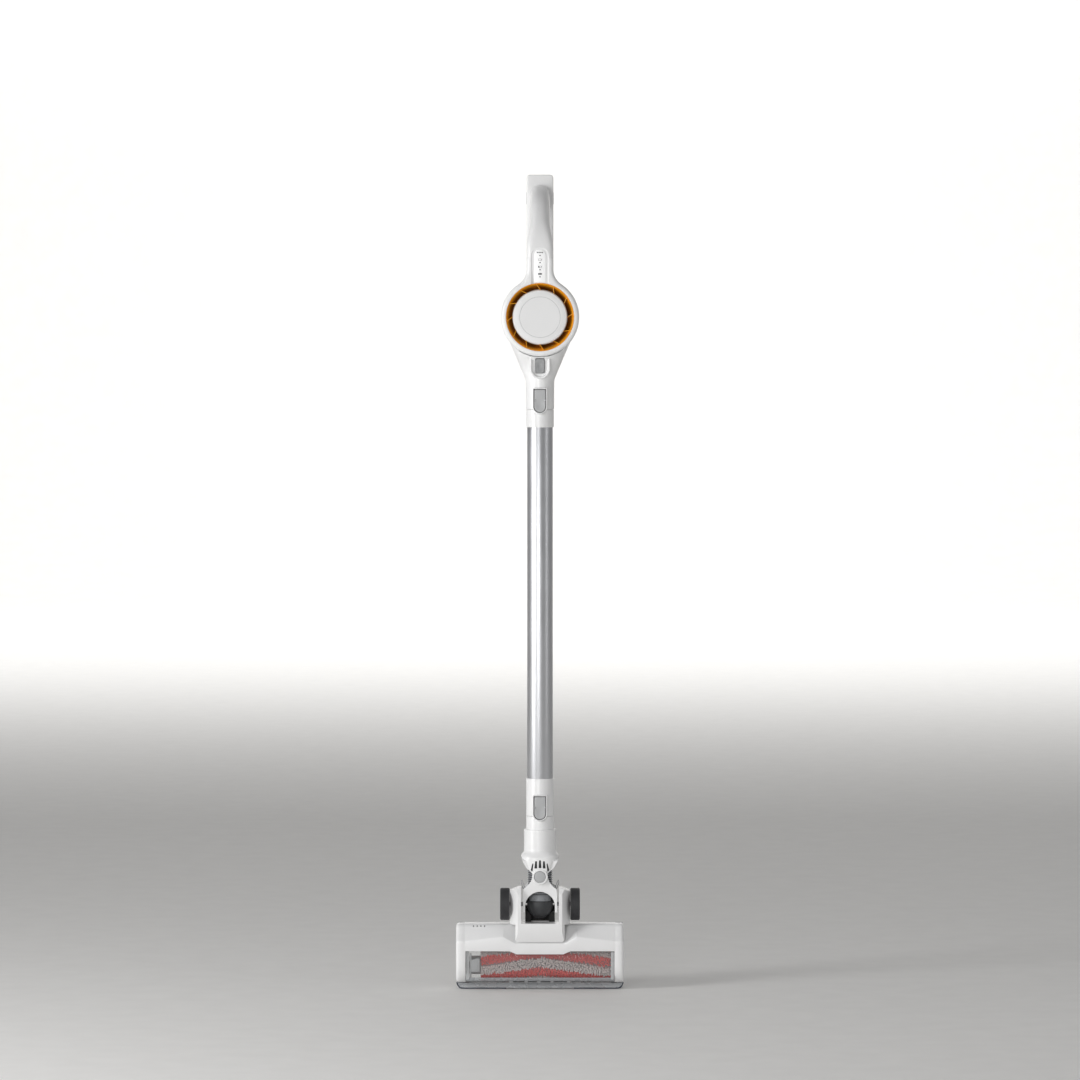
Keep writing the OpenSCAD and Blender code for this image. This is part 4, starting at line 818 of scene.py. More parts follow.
def make_wand():
    """The drawn tube with its two connectors: collar and spigot above, sleeve and socket below."""
    wall = [[TUBE_R, 272.6], [TUBE_R, 781.8], [TUBE_BORE, 781.8], [TUBE_BORE, 272.6]]
    skin = lathe(rounded(wall, 0.35, 3), "z", (0, 0), 128)
    build("wand_tube_skin", [skin], "tube", "wand", "tube_aluminium", ["wand_tube"])
    top = spigot(TOP_SEAM, TOP_COLLAR_Z) + [[TUBE_SEAT, TOP_COLLAR_Z], [TUBE_SEAT, 782.3], [SOCKET_R, 782.3],
                                            [15.3, TOP_COLLAR_Z]]
    upper = lathe(rounded(top, [0.4, 0.6, 0.6, 0.1, 0.7, 0.9, 0.2, 0.1, 0.1, 0.1], 3), "z", (0, 0), 128)
    build("wand_top", [upper], "casing", "wand", "white_plastic", ["wand_top_connector"],
          cutters=key_cuts(TOP_SEAM))
    low = [[COLLAR_R, LOW_SEAM], [COLLAR_R, LOW_SLEEVE_Z], [TUBE_SEAT, LOW_SLEEVE_Z], [TUBE_SEAT, 272.2],
           [SOCKET_R, 272.2], [SOCKET_R, LOW_SEAM]]
    lower = lathe(rounded(low, [0.5, 1.0, 0.2, 0.1, 0.1, 0.3], 3), "z", (0, 0), 128)
    build("wand_socket", [lower], "casing", "wand", "white_plastic", ["wand_bottom_connector"],
          cutters=[rocker_window(LOW_SEAM)])
    build("lower_rocker_frame", rocker_frame(LOW_SEAM), "casing black", "wand", "white_plastic")


# ---- battery, trigger, dust cup
HOLDER_Z = 969.7  # lower end of the battery's holder
RAIL_X, JACK_Y = 11.9, 40.5
CUP_BORE, CUP_R = 48, 50
HINGE_DROP = 54.6  # from the cup's centre down to the lid's hinge


def make_battery():
    """The holder behind the grip and the battery that slides off it, both rounded blocks with a bevelled
    top."""
    w = HANDLE_HALF
    plate = evened(rounded(rect(-w, HOLDER_Z, w, TOP_Z), [3, 3, 5.2, 5.2], 6), 160)
    holder = slab(plate, soft(34.0, 47.0, 1.6), "y")
    pockets = [slab(evened(rounded(rect(36.7, TOP_Z - 40.3, 44.3, TOP_Z - 23.7), 2.2), 64),
                    [(0, s * 10.5), (0, s * 22)], "x", 1) for s in (-1, 1)]
    jack = rod(2.8, TOP_Z - 9, TOP_Z + 3, "z", (0, JACK_Y), 48, 1)
    rails = [slab(rounded(rect(s * RAIL_X - 1.9, 981, s * RAIL_X + 1.9, 1068), 1.0),
                  [(0, 46.5), (0, 50.6), (0.4, 51.0)], "y") for s in (-1, 1)]
    build("battery_mount", [holder], "casing dark", "handheld", "white_plastic", ["battery_holder"],
          cutters=[*pockets, jack])
    build("battery_rails", rails, "dark", "handheld", "white_plastic")
    y0, y1 = 47.3, 1000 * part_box("battery_case")[1].y - AXIS_Y
    z0 = 1000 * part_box("battery_case")[0].z
    pack = slab(evened(rounded(rect(-w, z0, w, TOP_Z), [3, 3, 5.2, 5.2], 6), 200),
                [(0.8, y0), (0, y0 + 0.8), (0, y1 - 5), (0.7, y1 - 2.6), (2.4, y1 - 0.8), (5, y1)], "y")
    slots = [slab(rect(s * RAIL_X - 2.5, 46.0, s * RAIL_X + 2.5, 51.4), [(0, z0 - 2), (0, TOP_Z - 4)], "z",
                  1) for s in (-1, 1)]
    build("battery_pack", [pack], "casing dark", "battery", "white_plastic", ["battery_case"], cutters=slots)
    for side in ("left", "right"):
        paint("battery_latch_" + side, finishes["control"], 0.5)
    paint("battery_cells", finishes["cells"])
    paint("trigger", finishes["control"], 0.9)
    paint("trigger_spring", finishes["steel"])
    paint("trigger_switch", finishes["black"], 0.4)


def make_cup():
    """The see-through cup, its cyclone with a fine mesh, the lid, hinge and hook."""
    y0, y1 = -16.7, 1000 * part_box("lid_seal")[1].y - AXIS_Y
    cup = [[CUP_BORE, y0], [CUP_R, y0], [CUP_R, y0 + 4], [CUP_R, y1 - 0.1], [CUP_BORE, y1 - 0.1]]
    inlet = lambda r: [rod(r, 800, BODY_Z - 38, "z", (0, 0), 64)]
    wall = lathe(rounded(cup, 0.5, 3), "y", MOTOR_AXIS, 144)
    build("cup_wall", [wall], "smoked", "dust_cup", "smoked_clear", ["dust_cup"], cutters=inlet(14.1))
    band = [lathe(rounded(rect(50.03, y0, 50.75, y0 + 7), 0.25), "y", MOTOR_AXIS, 144),
            lathe(rounded(rect(50.03, y1 - 8, 50.75, y1 - 0.2), 0.25), "y", MOTOR_AXIS, 144)]
    build("cup_bands", band, "release", "dust_cup", "grey_plastic", cutters=inlet(20.5))
    lugs = []
    for s in (-1, 1):
        eye = np.concatenate([arc(y1 + 1.4, BODY_Z - HINGE_DROP, 3.2, 90, -180, 14),
                              [[y1 - 14, BODY_Z - 49.3], [y1 - 4, BODY_Z - 49.3]]])
        lugs.append(slab(evened(eye, 64), [(0.4, s * 8), (0, s * 8.4), (0, s * 11.6), (0.4, s * 12)], "x"))
        ear = rounded([[y1 - 20, BODY_Z + 49.4], [y1 - 10, BODY_Z + 49.4], [y1 - 12, BODY_Z + 54.3],
                       [y1 - 18, BODY_Z + 54.3]], 1.6)
        lugs.append(slab(ear, [(0.3, s * 4.7), (0, s * 5), (0, s * 7.1), (0.3, s * 7.4)], "x"))
    build("cup_lugs", lugs, "release", "dust_cup", "grey_plastic")
    core = [[26.4, y0 + 1], [28, y0 + 1], [28, y0 + 86.4], [35, y0 + 85.8], [35, y0 + 88.2], [0, y0 + 88.2],
            [0, y0 + 86.6], [26.4, y0 + 86.6]]
    finishes["screen"] = mesh_screen("cyclone_mesh")
    screen = [lathe([[28.0, y0 + 14], [28.35, y0 + 14], [28.35, y0 + 74], [28.0, y0 + 74]], "y", MOTOR_AXIS,
                    120, 1)]
    disc = lathe([[26.4, y0 + 1], [47.8, y0 + 1], [47.8, y0 + 2.8], [28.0, y0 + 2.8]], "y", MOTOR_AXIS, 120)
    build("cyclone_core", [lathe(core, "y", MOTOR_AXIS, 120, 0, True), disc, *screen], "dark screen",
          "dust_cup", "grey_plastic", ["cyclone"])
    yl = y1 + 3.6
    lid = [[0, y1 + 0.1], [CUP_R, y1 + 0.1], [CUP_R, yl - 1.2], [49.2, yl - 0.2], [47.6, yl], [44, yl],
           [43, yl - 0.8], [20, yl - 0.8], [19, yl], [0, yl]]
    build("lid_disc", [lathe(lid, "y", MOTOR_AXIS, 144, 0, False)], "smoked", "cup_lid", "smoked_clear",
          ["cup_lid"])
    arm = evened(np.concatenate([arc(y1 + 1.4, BODY_Z - HINGE_DROP, 2.6, 90, -90, 10),
                                 [[y1 + 0.1, BODY_Z - 57.2], [y1 + 0.1, BODY_Z - 47.5],
                                  [yl, BODY_Z - 47.5]]]), 64)
    catch = rounded(rect(y1 + 0.1, BODY_Z + 46.8, yl, BODY_Z + 51.5), 0.4)
    knuckle = slab(arm, [(0.3, -7.7), (0, -7.4), (0, 7.4), (0.3, 7.7)], "x")
    clasp = slab(catch, [(0.3, -6), (0, -5.6), (0, 5.6), (0.3, 6)], "x")
    build("lid_hinge", [knuckle, clasp], "release", "cup_lid", "grey_plastic")
    paint("lid_latch", finishes["release"], 0.5)
    paint("lid_hinge_pin", finishes["steel"])
    paint("lid_seal", finishes["rubber"], 0.4)
    paint("pre_filter", finishes["fleece"], 0.5)


def mesh_screen(name):
    """Etched steel screen: dark round holes on a 1.1 mm pitch, drawn as dark dots on bright metal."""
    mat = finish(name, linear("#A9ABAE"), 0.35, grain=0.8, depth=0.005, metal=0.9)
    bsdf = mat.node_tree.nodes["Principled BSDF"]
    place_of = add(mat, "ShaderNodeTexCoord")
    dots = add(mat, "ShaderNodeTexVoronoi", {"Vector": place_of.outputs["Object"], "Scale": 900.0,
                                             "Randomness": 0.15})
    fac = add(mat, "ShaderNodeMapRange", {0: dots.outputs["Distance"], 1: 0.32, 2: 0.45})
    ramp = add(mat, "ShaderNodeMix", data_type="RGBA")
    ramp.inputs[6].default_value = (0.01, 0.01, 0.011, 1)
    ramp.inputs[7].default_value = (*linear("#A9ABAE"), 1)
    mat.node_tree.links.new(fac.outputs[0], ramp.inputs[0])
    mat.node_tree.links.new(ramp.outputs[2], bsdf.inputs["Base Color"])
    return mat


# ---- neck of the floor head
HOSE_R = 17.7
SHELL_FOOT, SHELL_TOP = 155.3, 218.7  # heights of the swivel shells


def make_swivel():
    """Neck tube with its collar, the two swivel shells with ribs and slots, and the pivot caps."""
    plug = lathe(rounded(spigot(LOW_SEAM, 191), [0.3, 0.6, 0.6, 0.1, 0.7, 0.3], 3), "z", (0, 0), 128)
    build("neck_spigot", [plug], "casing", "neck", "white_plastic", ["neck_tube"], cutters=key_cuts(LOW_SEAM))
    # heights, and the half width of the shells at each
    zs = np.array([SHELL_FOOT, 157.5, 159.9, 162.5, 165.5, 168.5, 172, 176, 179.5, 182, 184.2, 186, 187.4,
                   189.5, 195, 203, 211, 217.2, 218.2, SHELL_TOP])
    ws = np.array([10.8, 10.4, 10.6, 13.2, 16.8, 19.3, 21.4, 23.6, 25.0, 25.7, 25.4, 23.9, 22.4, 21.9, 21.9,
                   21.9, 21.9, 21.9, 21.6, 20.9])
    z = np.unique(np.concatenate([zs, np.linspace(156, 218, 40)]))
    w = np.interp(z, zs, ws)
    d = np.interp(z, [SHELL_FOOT, 172, 181, 187.4, 190, 217.2, 218.2, SHELL_TOP],
                  [25.7, 25.7, 25.6, 22.6, 21.9, 21.9, 21.6, 20.9])
    power = np.interp(z, [SHELL_FOOT, 168, 182, 189], [5.0, 4.0, 2.9, 2.0])
    inner = np.interp(z, [SHELL_FOOT, 191, 191.1, SHELL_TOP], [19.2, 19.2, 19.0, 19.0])
    flat = (1 - eased(z, 176.5, 184.5))[:, None]
    iw = np.interp(z, [SHELL_FOOT, 160, 170, 177, 180, 191, 191.1, SHELL_TOP],
                   [5.0, 5.0, 15.5, 19.5, 19.2, 19.2, 19.0, 19.0])
    for side, name in ((-1, "front"), (1, "rear")):
        t = np.linspace(0.012, math.pi - 0.012, 56)[None]
        k = 2 / power[:, None]
        ox, oy = w[:, None] * np.sign(np.cos(t)) * np.abs(np.cos(t)) ** k, d[:, None] * np.abs(np.sin(t)) ** k
        tin = t[:, ::-1]
        ix = np.minimum(iw, w - 1.0)[:, None] * np.cos(tin)
        iy = flat * 21.75 + (1 - flat) * inner[:, None] * np.sin(tin)
        oy = np.maximum(oy, flat * 22.2)
        x, y = np.concatenate([ox, ix], 1), np.concatenate([oy, iy], 1)
        p = np.stack([x, side * y, np.broadcast_to(z[:, None], x.shape)], -1)
        ring = lathe([[4.05, side * 21.75], [10.5, side * 21.75], [10.5, side * 25.4], [10.2, side * 26.0],
                      [9.6, side * 26.2], [8.6, side * 26.2], [8.2, side * 25.9], [7.8, side * 24.2],
                      [4.05, side * 24.2]], "y", (0, SWIVEL_Z), 72)
        mesh = mesh_of("swivel_" + name, [(p, False, True, True, 0)], coats("casing dark"), 28)
        mesh = carve(mesh, [rod(9.0, side * 15, side * 40, "y", (0, SWIVEL_Z), 72)], 28)
        if side < 0:
            slots = []
            for x0, x1, za, zb in ((-5.7, -5.3, 166.9, 176.8), (0.0, 0.0, 167.4, 178.0),
                                   (5.7, 5.3, 166.9, 176.8), (-11.6, -9.6, 162.6, 173.6),
                                   (11.6, 9.6, 162.6, 173.6)):
                h0, h1 = (1.9, 1.2) if abs(x0) < 8 else (1.5, 0.7)
                line = rounded([[x0 - h0, za], [x0 + h0, za], [x1 + h1, zb], [x1 - h1, zb]], 0.9)
                slots.append(slab(line, [(0, -30), (0, -22.4)], "y", 1))
            mesh = carve(mesh, slots, 28)
        place("swivel_" + name, mesh, "neck", "white_plastic", ["swivel_%s_shell" % name])
        build("swivel_ring_" + name, [ring], "casing", "neck", "white_plastic")
    caps = [lathe([[0, s * 26.25], [5.6, s * 26.2], [6.9, s * 26.0], [7.5, s * 25.4], [7.6, s * 24.6],
                   [7.6, s * 24.3], [0, s * 24.3]], "y", (0, SWIVEL_Z), 72, 0, False) for s in (-1, 1)]
    build("swivel_caps", caps, "control", "neck", "light_grey_plastic", ["swivel_cap"])
    paint("swivel_pins", finishes["steel"])


def make_hose():
    """The corrugated hose inside the swivel: silver ridges and dark valleys, in a straight run between neck
    and yoke.
    """
    turns, z0, z1 = bpy.context.scene.vacuum_sizes.turns, 130.2, 188.5
    pitch = (z1 - z0) / turns
    s = np.linspace(0, turns, turns * 8 + 1)
    wave = 0.5 + 0.5 * np.cos(2 * math.pi * s)
    r = HOSE_R - 2.0 * wave
    outer = np.stack([r, z0 + pitch * s], -1)
    whole = np.concatenate([outer, [[DUCT_R, z1], [DUCT_R, z0]]])
    p, wu, wv, caps, _ = lathe(whole, "z", (0, 0), 72)
    level = np.r_[(wave[:-1] + wave[1:]) / 2 < 0.42, [False, False, False]]
    mats = np.repeat(level[: len(whole)].astype(int), 72)
    mesh = mesh_of("neck_hose_wall", [(p, wu, wv, caps, mats)], coats("hose ridge"), 60)
    obj = bpy.data.objects.new("neck_hose_wall", mesh)
    bpy.context.scene.collection.objects.link(obj)
    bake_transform(obj)
    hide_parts("neck_hose")


def make_yoke():
    """The forked carrier between swivel and tilt axis, the ball duct in its arch, and the two wire guides."""
    pz, sz = PIVOT_Z, SWIVEL_Z
    half = 23.2

    flank = flowing([[half, pz + 16], [half - 0.8, pz + 22], [18.6, sz - 14], [12.9, sz - 7.5],
                     [10.9, sz - 2]], 14)
    crown = np.concatenate([flank, arc(0, sz, 10.5, 8, 172, 24), flank[::-1] * [-1, 1]])

    def spread(line, n=140):
        """The open line with n points at equal steps along its length."""
        s = np.r_[0, np.cumsum(np.linalg.norm(np.diff(line, axis=0), axis=1))]
        t = np.linspace(0, s[-1], n)
        return np.stack([np.interp(t, s, line[:, 0]), np.interp(t, s, line[:, 1])], -1)

    def bridge(outer, inner, back, front):
        """A plate between an outer and an inner line; its section has bevelled front corners."""
        o, i = spread(outer), spread(inner)
        d = (i - o) / np.linalg.norm(i - o, axis=1)[:, None]
        lean = 0.6 * np.sign(front - back)
        ring = [lift(o, back, "y"), lift(o, front - lean, "y"), lift(o + 0.6 * d, front, "y"),
                lift(i - 0.6 * d, front, "y"), lift(i, front - lean, "y"), lift(i, back, "y")]
        return np.stack(ring, 1), False, True, True, 0

    inner = np.concatenate([[[20.4, pz - 9.5]], arc(0, pz - 2, 20.4, 0, 180, 60), [[-20.4, pz - 9.5]]])
    front = bridge(np.concatenate([[[half, pz - 9.5]], crown, [[-half, pz - 9.5]]]), inner, -18.9, -21.3)
    inner = np.concatenate([[[20.4, pz + 14]], arc(0, pz - 2, 20.4, 52, 128, 24), [[-20.4, pz + 14]]])
    rear = bridge(np.concatenate([[[half, pz + 14]], crown, [[-half, pz + 14]]]), inner, 18.9, 21.3)
    shroud = bridge(arc(0, pz - 2, 20.35, 9, 171, 60), arc(0, pz - 2, 12.5, 15, 165, 60), 1.2, 0.0)
    build("duct_shroud", [shroud], "black", "yoke", "dark_plastic")
    legs = []
    for s in (-1, 1):
        leg = np.concatenate([[[-21.2, sz - 21], [-21.2, pz - 6]], arc(0, pz, 9.6, 215, 335, 14),
                              [[21.2, pz + 14], [21.2, sz - 21]]])
        legs.append(slab(evened(leg, 120), [(0.6, s * 20.6), (0, s * 21.0), (0, s * 22.6), (0.25, s * 23.0),
                                            (0.7, s * 23.2)], "x"))
    build("yoke_body", [front, rear], "casing", "yoke", "white_plastic", ["yoke"])
    build("yoke_legs", legs, "casing", "yoke", "white_plastic", cutters=[rod(3.1, -40, 40, "x", (0, pz), 32)])
    a = np.linspace(-90, 12, 30)
    ball = np.stack([17.6 * np.cos(np.radians(a)), pz + 19.2 * np.sin(np.radians(a))], -1)
    ball = np.concatenate([[[0, pz - 19.2]], ball[1:], [[15.6, pz + 4.3], [15.2, pz + 4.3], [14.4, pz + 3],
                                                        [0, pz + 3]]])
    s = np.linspace(0, 5, 41)
    cuff = np.stack([15.2 - 0.9 * (0.5 + 0.5 * np.cos(2 * math.pi * s)), pz + 4.4 + 1.85 * s], -1)
    cuff = np.concatenate([cuff, [[13.0, pz + 13.7], [13.0, pz + 4.4]]])
    duct = [lathe(ball, "z", (0, 0), 96, 0, False), lathe(cuff, "z", (0, 0), 96, 1)]
    build("duct_ball_skin", duct, "dark ridge", "yoke", "dark_plastic", ["duct_ball"], sharp=50)
    wires = []
    for s in (-1, 1):
        line = flowing([[s * 20.4, -6, pz + 22], [s * 22.6, -7, pz + 28], [s * 25.0, -7, pz + 33.5],
                        [s * 25.6, -6, pz + 30], [s * 24.2, -5, pz + 25], [s * 22.4, -4, pz + 21]], 40)
        wires.append(tube(line, 0.55, 10))
    build("wire_guides", wires, "control", "yoke", "smoked_clear")
    paint("tilt_pins", finishes["steel"])
    paint("pivot_cradle", finishes["black"])


# ---- floor head
HEAD_HALF, SHELL_HALF = 114.5, 102.5  # half widths of the head and of the cover between its arms
FACE_Y, BACK_Y, HEAD_TOP = -22.6, 17.8, 89.5
SLOPE_TOP = 85.9  # where the roof of the cover turns into its slope
GLASS_OUT, GLASS_IN, GLASS_HALF = 23.6, 21.6, 100.4  # the window's radii round the roller, and its half width
ROLLER_Y, ROLLER_Z = 2.0, 32.5
ROLLER_AXIS = (ROLLER_Y, ROLLER_Z)
ROLLER_HALF, CORE_R = 96.0, 12.5
STUB_R, STUB_END = 3.95, 107.5
TUFT_SIDES = 5
BAND = 90  # degrees round the roller from one red band to the next


def brow(x):
    """Height of the brow: it falls from 72.8 to 67 outwards, and steps down to 63.6 in the middle."""
    x = np.abs(x)
    side = 72.8 - 5.8 * np.clip((x - 50) / 53, 0, 1) ** 1.1
    return 63.6 + (side - 63.6) * np.clip((x - 33.5) / 16.5, 0, 1)


def lip(x):
    """Height of the window's upper edge: 53.4, and 49.3 on the chin in the middle."""
    return 49.3 + 4.1 * np.clip((np.abs(x) - 31.5) / 10.0, 0, 1)


def make_cover():
    """The white cover: a section of slope, brow and face for each place across, and an arm at each end."""
    x = np.unique(np.concatenate([np.linspace(-SHELL_HALF, SHELL_HALF, 120),
                                  [-50, -33.5, 33.5, 50, -41.5, -31.5, 31.5, 41.5]]))
    b, e = brow(x)[:, None], lip(x)[:, None]
    one = np.ones_like(b)
    top_y, top_z = [BACK_Y, 6.0, 0.5, -2.5, -5.0, -7.4], [HEAD_TOP, HEAD_TOP, 89.4, 88.9, 87.8, SLOPE_TOP]
    front_y = [-14.4, -21.3, -22.3, FACE_Y, FACE_Y, FACE_Y, -22.35, -21.9, -21.75]
    ys = [y * one for y in top_y + front_y]
    front_z = [b + 0.5 * (SLOPE_TOP - b), b + 1.5, b + 0.4, b - 0.9, 0.5 * (b + e), e + 1.0, e + 0.25, e,
               e + 0.1]
    zs = [z * one for z in top_z] + front_z
    inner_y = [y * one for y in (-20.2, -20.2, -12.4, -6.6, -1.0, BACK_Y)]
    inner_z = [e + 2.4, b - 2.6, b + 0.5 * (82.5 - b), 83.0 * one, 86.9 * one, 87.1 * one]
    y, z = np.concatenate(ys + inner_y, 1), np.concatenate(zs + inner_z, 1)
    p = np.stack([np.broadcast_to(x[:, None], y.shape), y, z], -1)
    shell, arms = [(p, False, True, True, 0)], []
    b0 = float(brow(SHELL_HALF))
    crease = [[-14.4, b0 + 0.5 * (SLOPE_TOP - b0)], [-21.3, b0 + 1.5], [-22.3, b0 + 0.4], [FACE_Y, b0 - 0.9]]
    belly = arc(ROLLER_Y - 1, ROLLER_Z, GLASS_OUT, 180, 256, 12)
    side = np.concatenate([np.stack([top_y, top_z], -1), crease, belly, [[BACK_Y, 9.6]]])
    corner = np.zeros(len(side))
    corner[[0, -1]] = 7.0
    side = evened(rounded(side, corner), 160)
    a = np.linspace(0, math.pi / 2, 7)
    bend = 5.0  # radius of an arm's outer edge
    for s in (-1, 1):
        steps = [(1.0, s * 101.3), (0.3, s * 101.5), (0.02, s * 102.2)]
        steps += [(0.02 + bend - bend * math.cos(t), s * (HEAD_HALF - bend + bend * math.sin(t))) for t in a]
        arms.append(slab(side, steps, "x"))
    hood_room = slab(rect(-12, 0, 12, 20) + [0, -8], [(0, 80), (0, 95)], "z")
    holes = [rod(0.95, -30, 10, "y", (px, 86.4), 20, 1) for px in (-90.5, -85.5, -80.5, -75.5)]
    build("cover_shell", shell, "casing black", "head", "white_plastic", ["head_cover"], sharp=24,
          cutters=[hood_room, *holes])
    axle = rod(4.05, -108.1, 108.1, "x", ROLLER_AXIS, 32)
    build("cover_arms", arms, "casing", "head", "white_plastic", cutters=[axle])


def make_hood():
    """The creased hood with its slot, kept from the frame with a soft edge on each crease."""
    paint("neck_hood", finishes["casing"], 0.7)


def make_window():
    """The clear window: a bent plate round the roller's front, a thicker lower lip and grey end frames."""
    y0 = FACE_Y + 1.0
    out = np.concatenate([[[y0 + 9.2, 57.6], [y0 + 1.2, 53.0], [y0, 46.5], [y0, 38.5]],
                          arc(ROLLER_Y, ROLLER_Z, GLASS_OUT, 180, 258, 18)])
    inn = np.concatenate([[[y0 + 10.0, 55.8], [y0 + 3.0, 52.0], [y0 + 2.0, 46.5], [y0 + 2.0, 38.5]],
                          arc(ROLLER_Y, ROLLER_Z, GLASS_IN, 180, 258, 18)])
    line = np.concatenate([out, inn[::-1]])
    ends = lambda r: [(r, -GLASS_HALF - 0.4), (0, -GLASS_HALF), (0, GLASS_HALF), (r, GLASS_HALF + 0.4)]
    build("window_pane", [slab(line, ends(0.25), "x")], "window", "head", "clear_window", ["brush_window"],
          sharp=40)
    frames = []
    for s in (-1, 1):
        post = rounded(rect(s * 96.4, 14.5, s * 100.7, 52.5), 0.8)
        frames.append(slab(post, soft(-19.3, -17.6, 0.3), "y"))
    frames.append(slab(rounded([[-93.6, 24.5], [-81.4, 24.5], [-81.4, 43.0], [-84.4, 43.6], [-93.6, 41.5]],
                               1.4), [(0.6, -4), (0, -4.6), (0, -17.6), (0.4, -18.3), (1.1, -18.7)], "y", 1))
    frames.append(slab(rounded(rect(-95.6, 16.0, -93.2, 50.0), 0.6), soft(-18.4, -14, 0.3), "y", 1))
    build("window_posts", frames, "control release", "head", "light_grey_plastic")
    lowlip = np.array([[-17.6, 17.5], [-15.2, 14.6], [-9.0, 12.4], [-9.0, 11.0], [-16.6, 12.8],
                       [-19.0, 16.4]])
    build("window_lip", [slab(evened(rounded(lowlip, 0.8), 60), ends(0.3), "x")], "bumper", "head",
          "clear_window")


def make_roller():
    """The roller: grey core, and a pile of tufts in chevron bands, red in the first half of each band."""
    core = lathe([[0, -96.2], [12.0, -96.2], [CORE_R, -95.7], [CORE_R, 95.7], [12.0, 96.2], [0, 96.2]], "x",
                 ROLLER_AXIS, 72, 0, False)
    stub = rod(STUB_R, -ROLLER_HALF, -STUB_END, "x", ROLLER_AXIS, 32, 1)
    socket = [[0, ROLLER_HALF], [8.35, ROLLER_HALF], [8.35, 102.8], [STUB_R, 102.8], [STUB_R, STUB_END],
              [0, STUB_END]]
    ends = [stub, lathe(socket, "x", ROLLER_AXIS, 48, 1, False)]
    build("roller_core", [core, *ends], "core dark", "roller", "roller_core", ["brush_roller"])
    sizes = bpy.context.scene.vacuum_sizes
    along, pile = sizes.tufts, sizes.pile * 1000
    around = 62
    rng = np.random.default_rng(7)
    gx, ga = np.meshgrid(np.linspace(-79.5, 95.0, along), np.linspace(0, 360, around, endpoint=False),
                         indexing="ij")
    gx = (gx + rng.uniform(-0.9, 0.9, gx.shape)).ravel()
    ga = (ga + rng.uniform(-2.6, 2.6, ga.shape)).ravel()
    phase = (ga + 50 * (np.abs(gx) / ROLLER_HALF) - 42) % BAND
    keep = (np.abs(phase - 1.2) > 2.4) & (np.abs(phase - 88.8) > 2.2) & (np.abs(phase - BAND / 2) > 1.0)
    gx, ga, phase = gx[keep], ga[keep], phase[keep]
    red = phase < BAND / 2
    n = len(gx)
    r0, r1 = 12.3, CORE_R + pile * (0.93 + 0.07 * rng.random(n))
    r1 = np.where(np.abs(gx) > 93.5, CORE_R + (r1 - CORE_R) * 0.86, r1)
    t = np.array([0.0, 0.62, 1.0])
    size = np.array([0.75, 1.05, 0.55])
    lean = np.radians(rng.uniform(-4, 4, n))
    slide = rng.uniform(-0.5, 0.5, n)
    corner = np.radians(np.arange(TUFT_SIDES) * 360 / TUFT_SIDES)
    rad = r0 + (r1 - r0)[:, None] * t[None]
    ang = np.radians(ga)[:, None] + lean[:, None] * t[None]
    cx = gx[:, None] + slide[:, None] * t[None]
    dx = size[None, :, None] * np.cos(corner)[None, None] * 1.05
    da = size[None, :, None] * np.sin(corner)[None, None] / rad[..., None]
    px = cx[..., None] + dx
    pa = ang[..., None] + da
    pr = np.broadcast_to(rad[..., None], px.shape)
    p = np.stack([px, ROLLER_Y - pr * np.cos(pa), ROLLER_Z + pr * np.sin(pa)], -1).reshape(n, -1, 3)
    cells = quads(len(t), TUFT_SIDES, False, True)
    foot = np.arange(TUFT_SIDES)[::-1]
    tip = np.arange(TUFT_SIDES) + (len(t) - 1) * TUFT_SIDES
    for name, which, mat in (("red_pile", red, "bristle"), ("grey_pile", ~red, "bristle_grey")):
        q = p[which]
        co = (q.reshape(-1, 3) + [0, AXIS_Y, 0]) / 1000
        shift = np.arange(len(q))[:, None, None] * len(t) * TUFT_SIDES
        sides = (cells[None] + shift).reshape(-1, 4)
        caps = (np.stack([tip, foot])[None] + shift).reshape(-1, TUFT_SIDES)
        mesh = bpy.data.meshes.new(name)
        mesh.from_pydata(co.tolist(), [], sides.tolist() + caps.tolist())
        mesh.materials.append(finishes[mat])
        bm = bmesh.new()
        bm.from_mesh(mesh)
        bmesh.ops.recalc_face_normals(bm, faces=bm.faces)
        bm.to_mesh(mesh)
        bm.free()
        mesh.polygons.foreach_set("use_smooth", np.ones(len(mesh.polygons), bool))
        mesh.set_sharp_from_angle(angle=math.radians(50))
        place(name, mesh, "roller", "bristle", ["roller_bristles"] if name == "red_pile" else [])


def make_wheels():
    """Two wheels: a tyre with rounded shoulders and fine grooves, a dished hub and a cap on its outer
    side."""
    for s, name in ((-1, "wheel_left"), (1, "wheel_right")):
        a, b = s * 41.3, s * 54.3
        lo, hi = min(a, b), max(a, b)
        grooves = []
        for i in range(5):
            g = lo + 2.6 + i * (hi - lo - 5.2) / 4
            grooves += [[22.0, g - 0.35], [21.7, g - 0.12], [21.7, g + 0.12], [22.0, g + 0.35]]
        tyre = np.array([[16.2, lo + 0.6], [19.0, lo], [20.6, lo], [22.0, lo + 1.4], *grooves,
                         [22.0, hi - 1.4], [20.6, hi], [19.0, hi], [16.2, hi - 0.6]])
        inner, outer = (hi, lo) if s < 0 else (lo, hi)
        hub = np.array([[3.06, inner], [16.2, inner], [16.2, outer - s * 0.6], [15.0, outer - s * 1.4],
                        [9.0, outer - s * 2.4], [7.4, outer - s * 1.2], [6.8, outer - s * 0.9],
                        [3.06, outer - s * 0.9]])
        parts = [lathe(tyre, "x", (0, PIVOT_Z), 128, 0), lathe(hub, "x", (0, PIVOT_Z), 96, 1)]
        build(name + "_tyre", parts, "tyre dark", name, "tyre", [name], sharp=35)


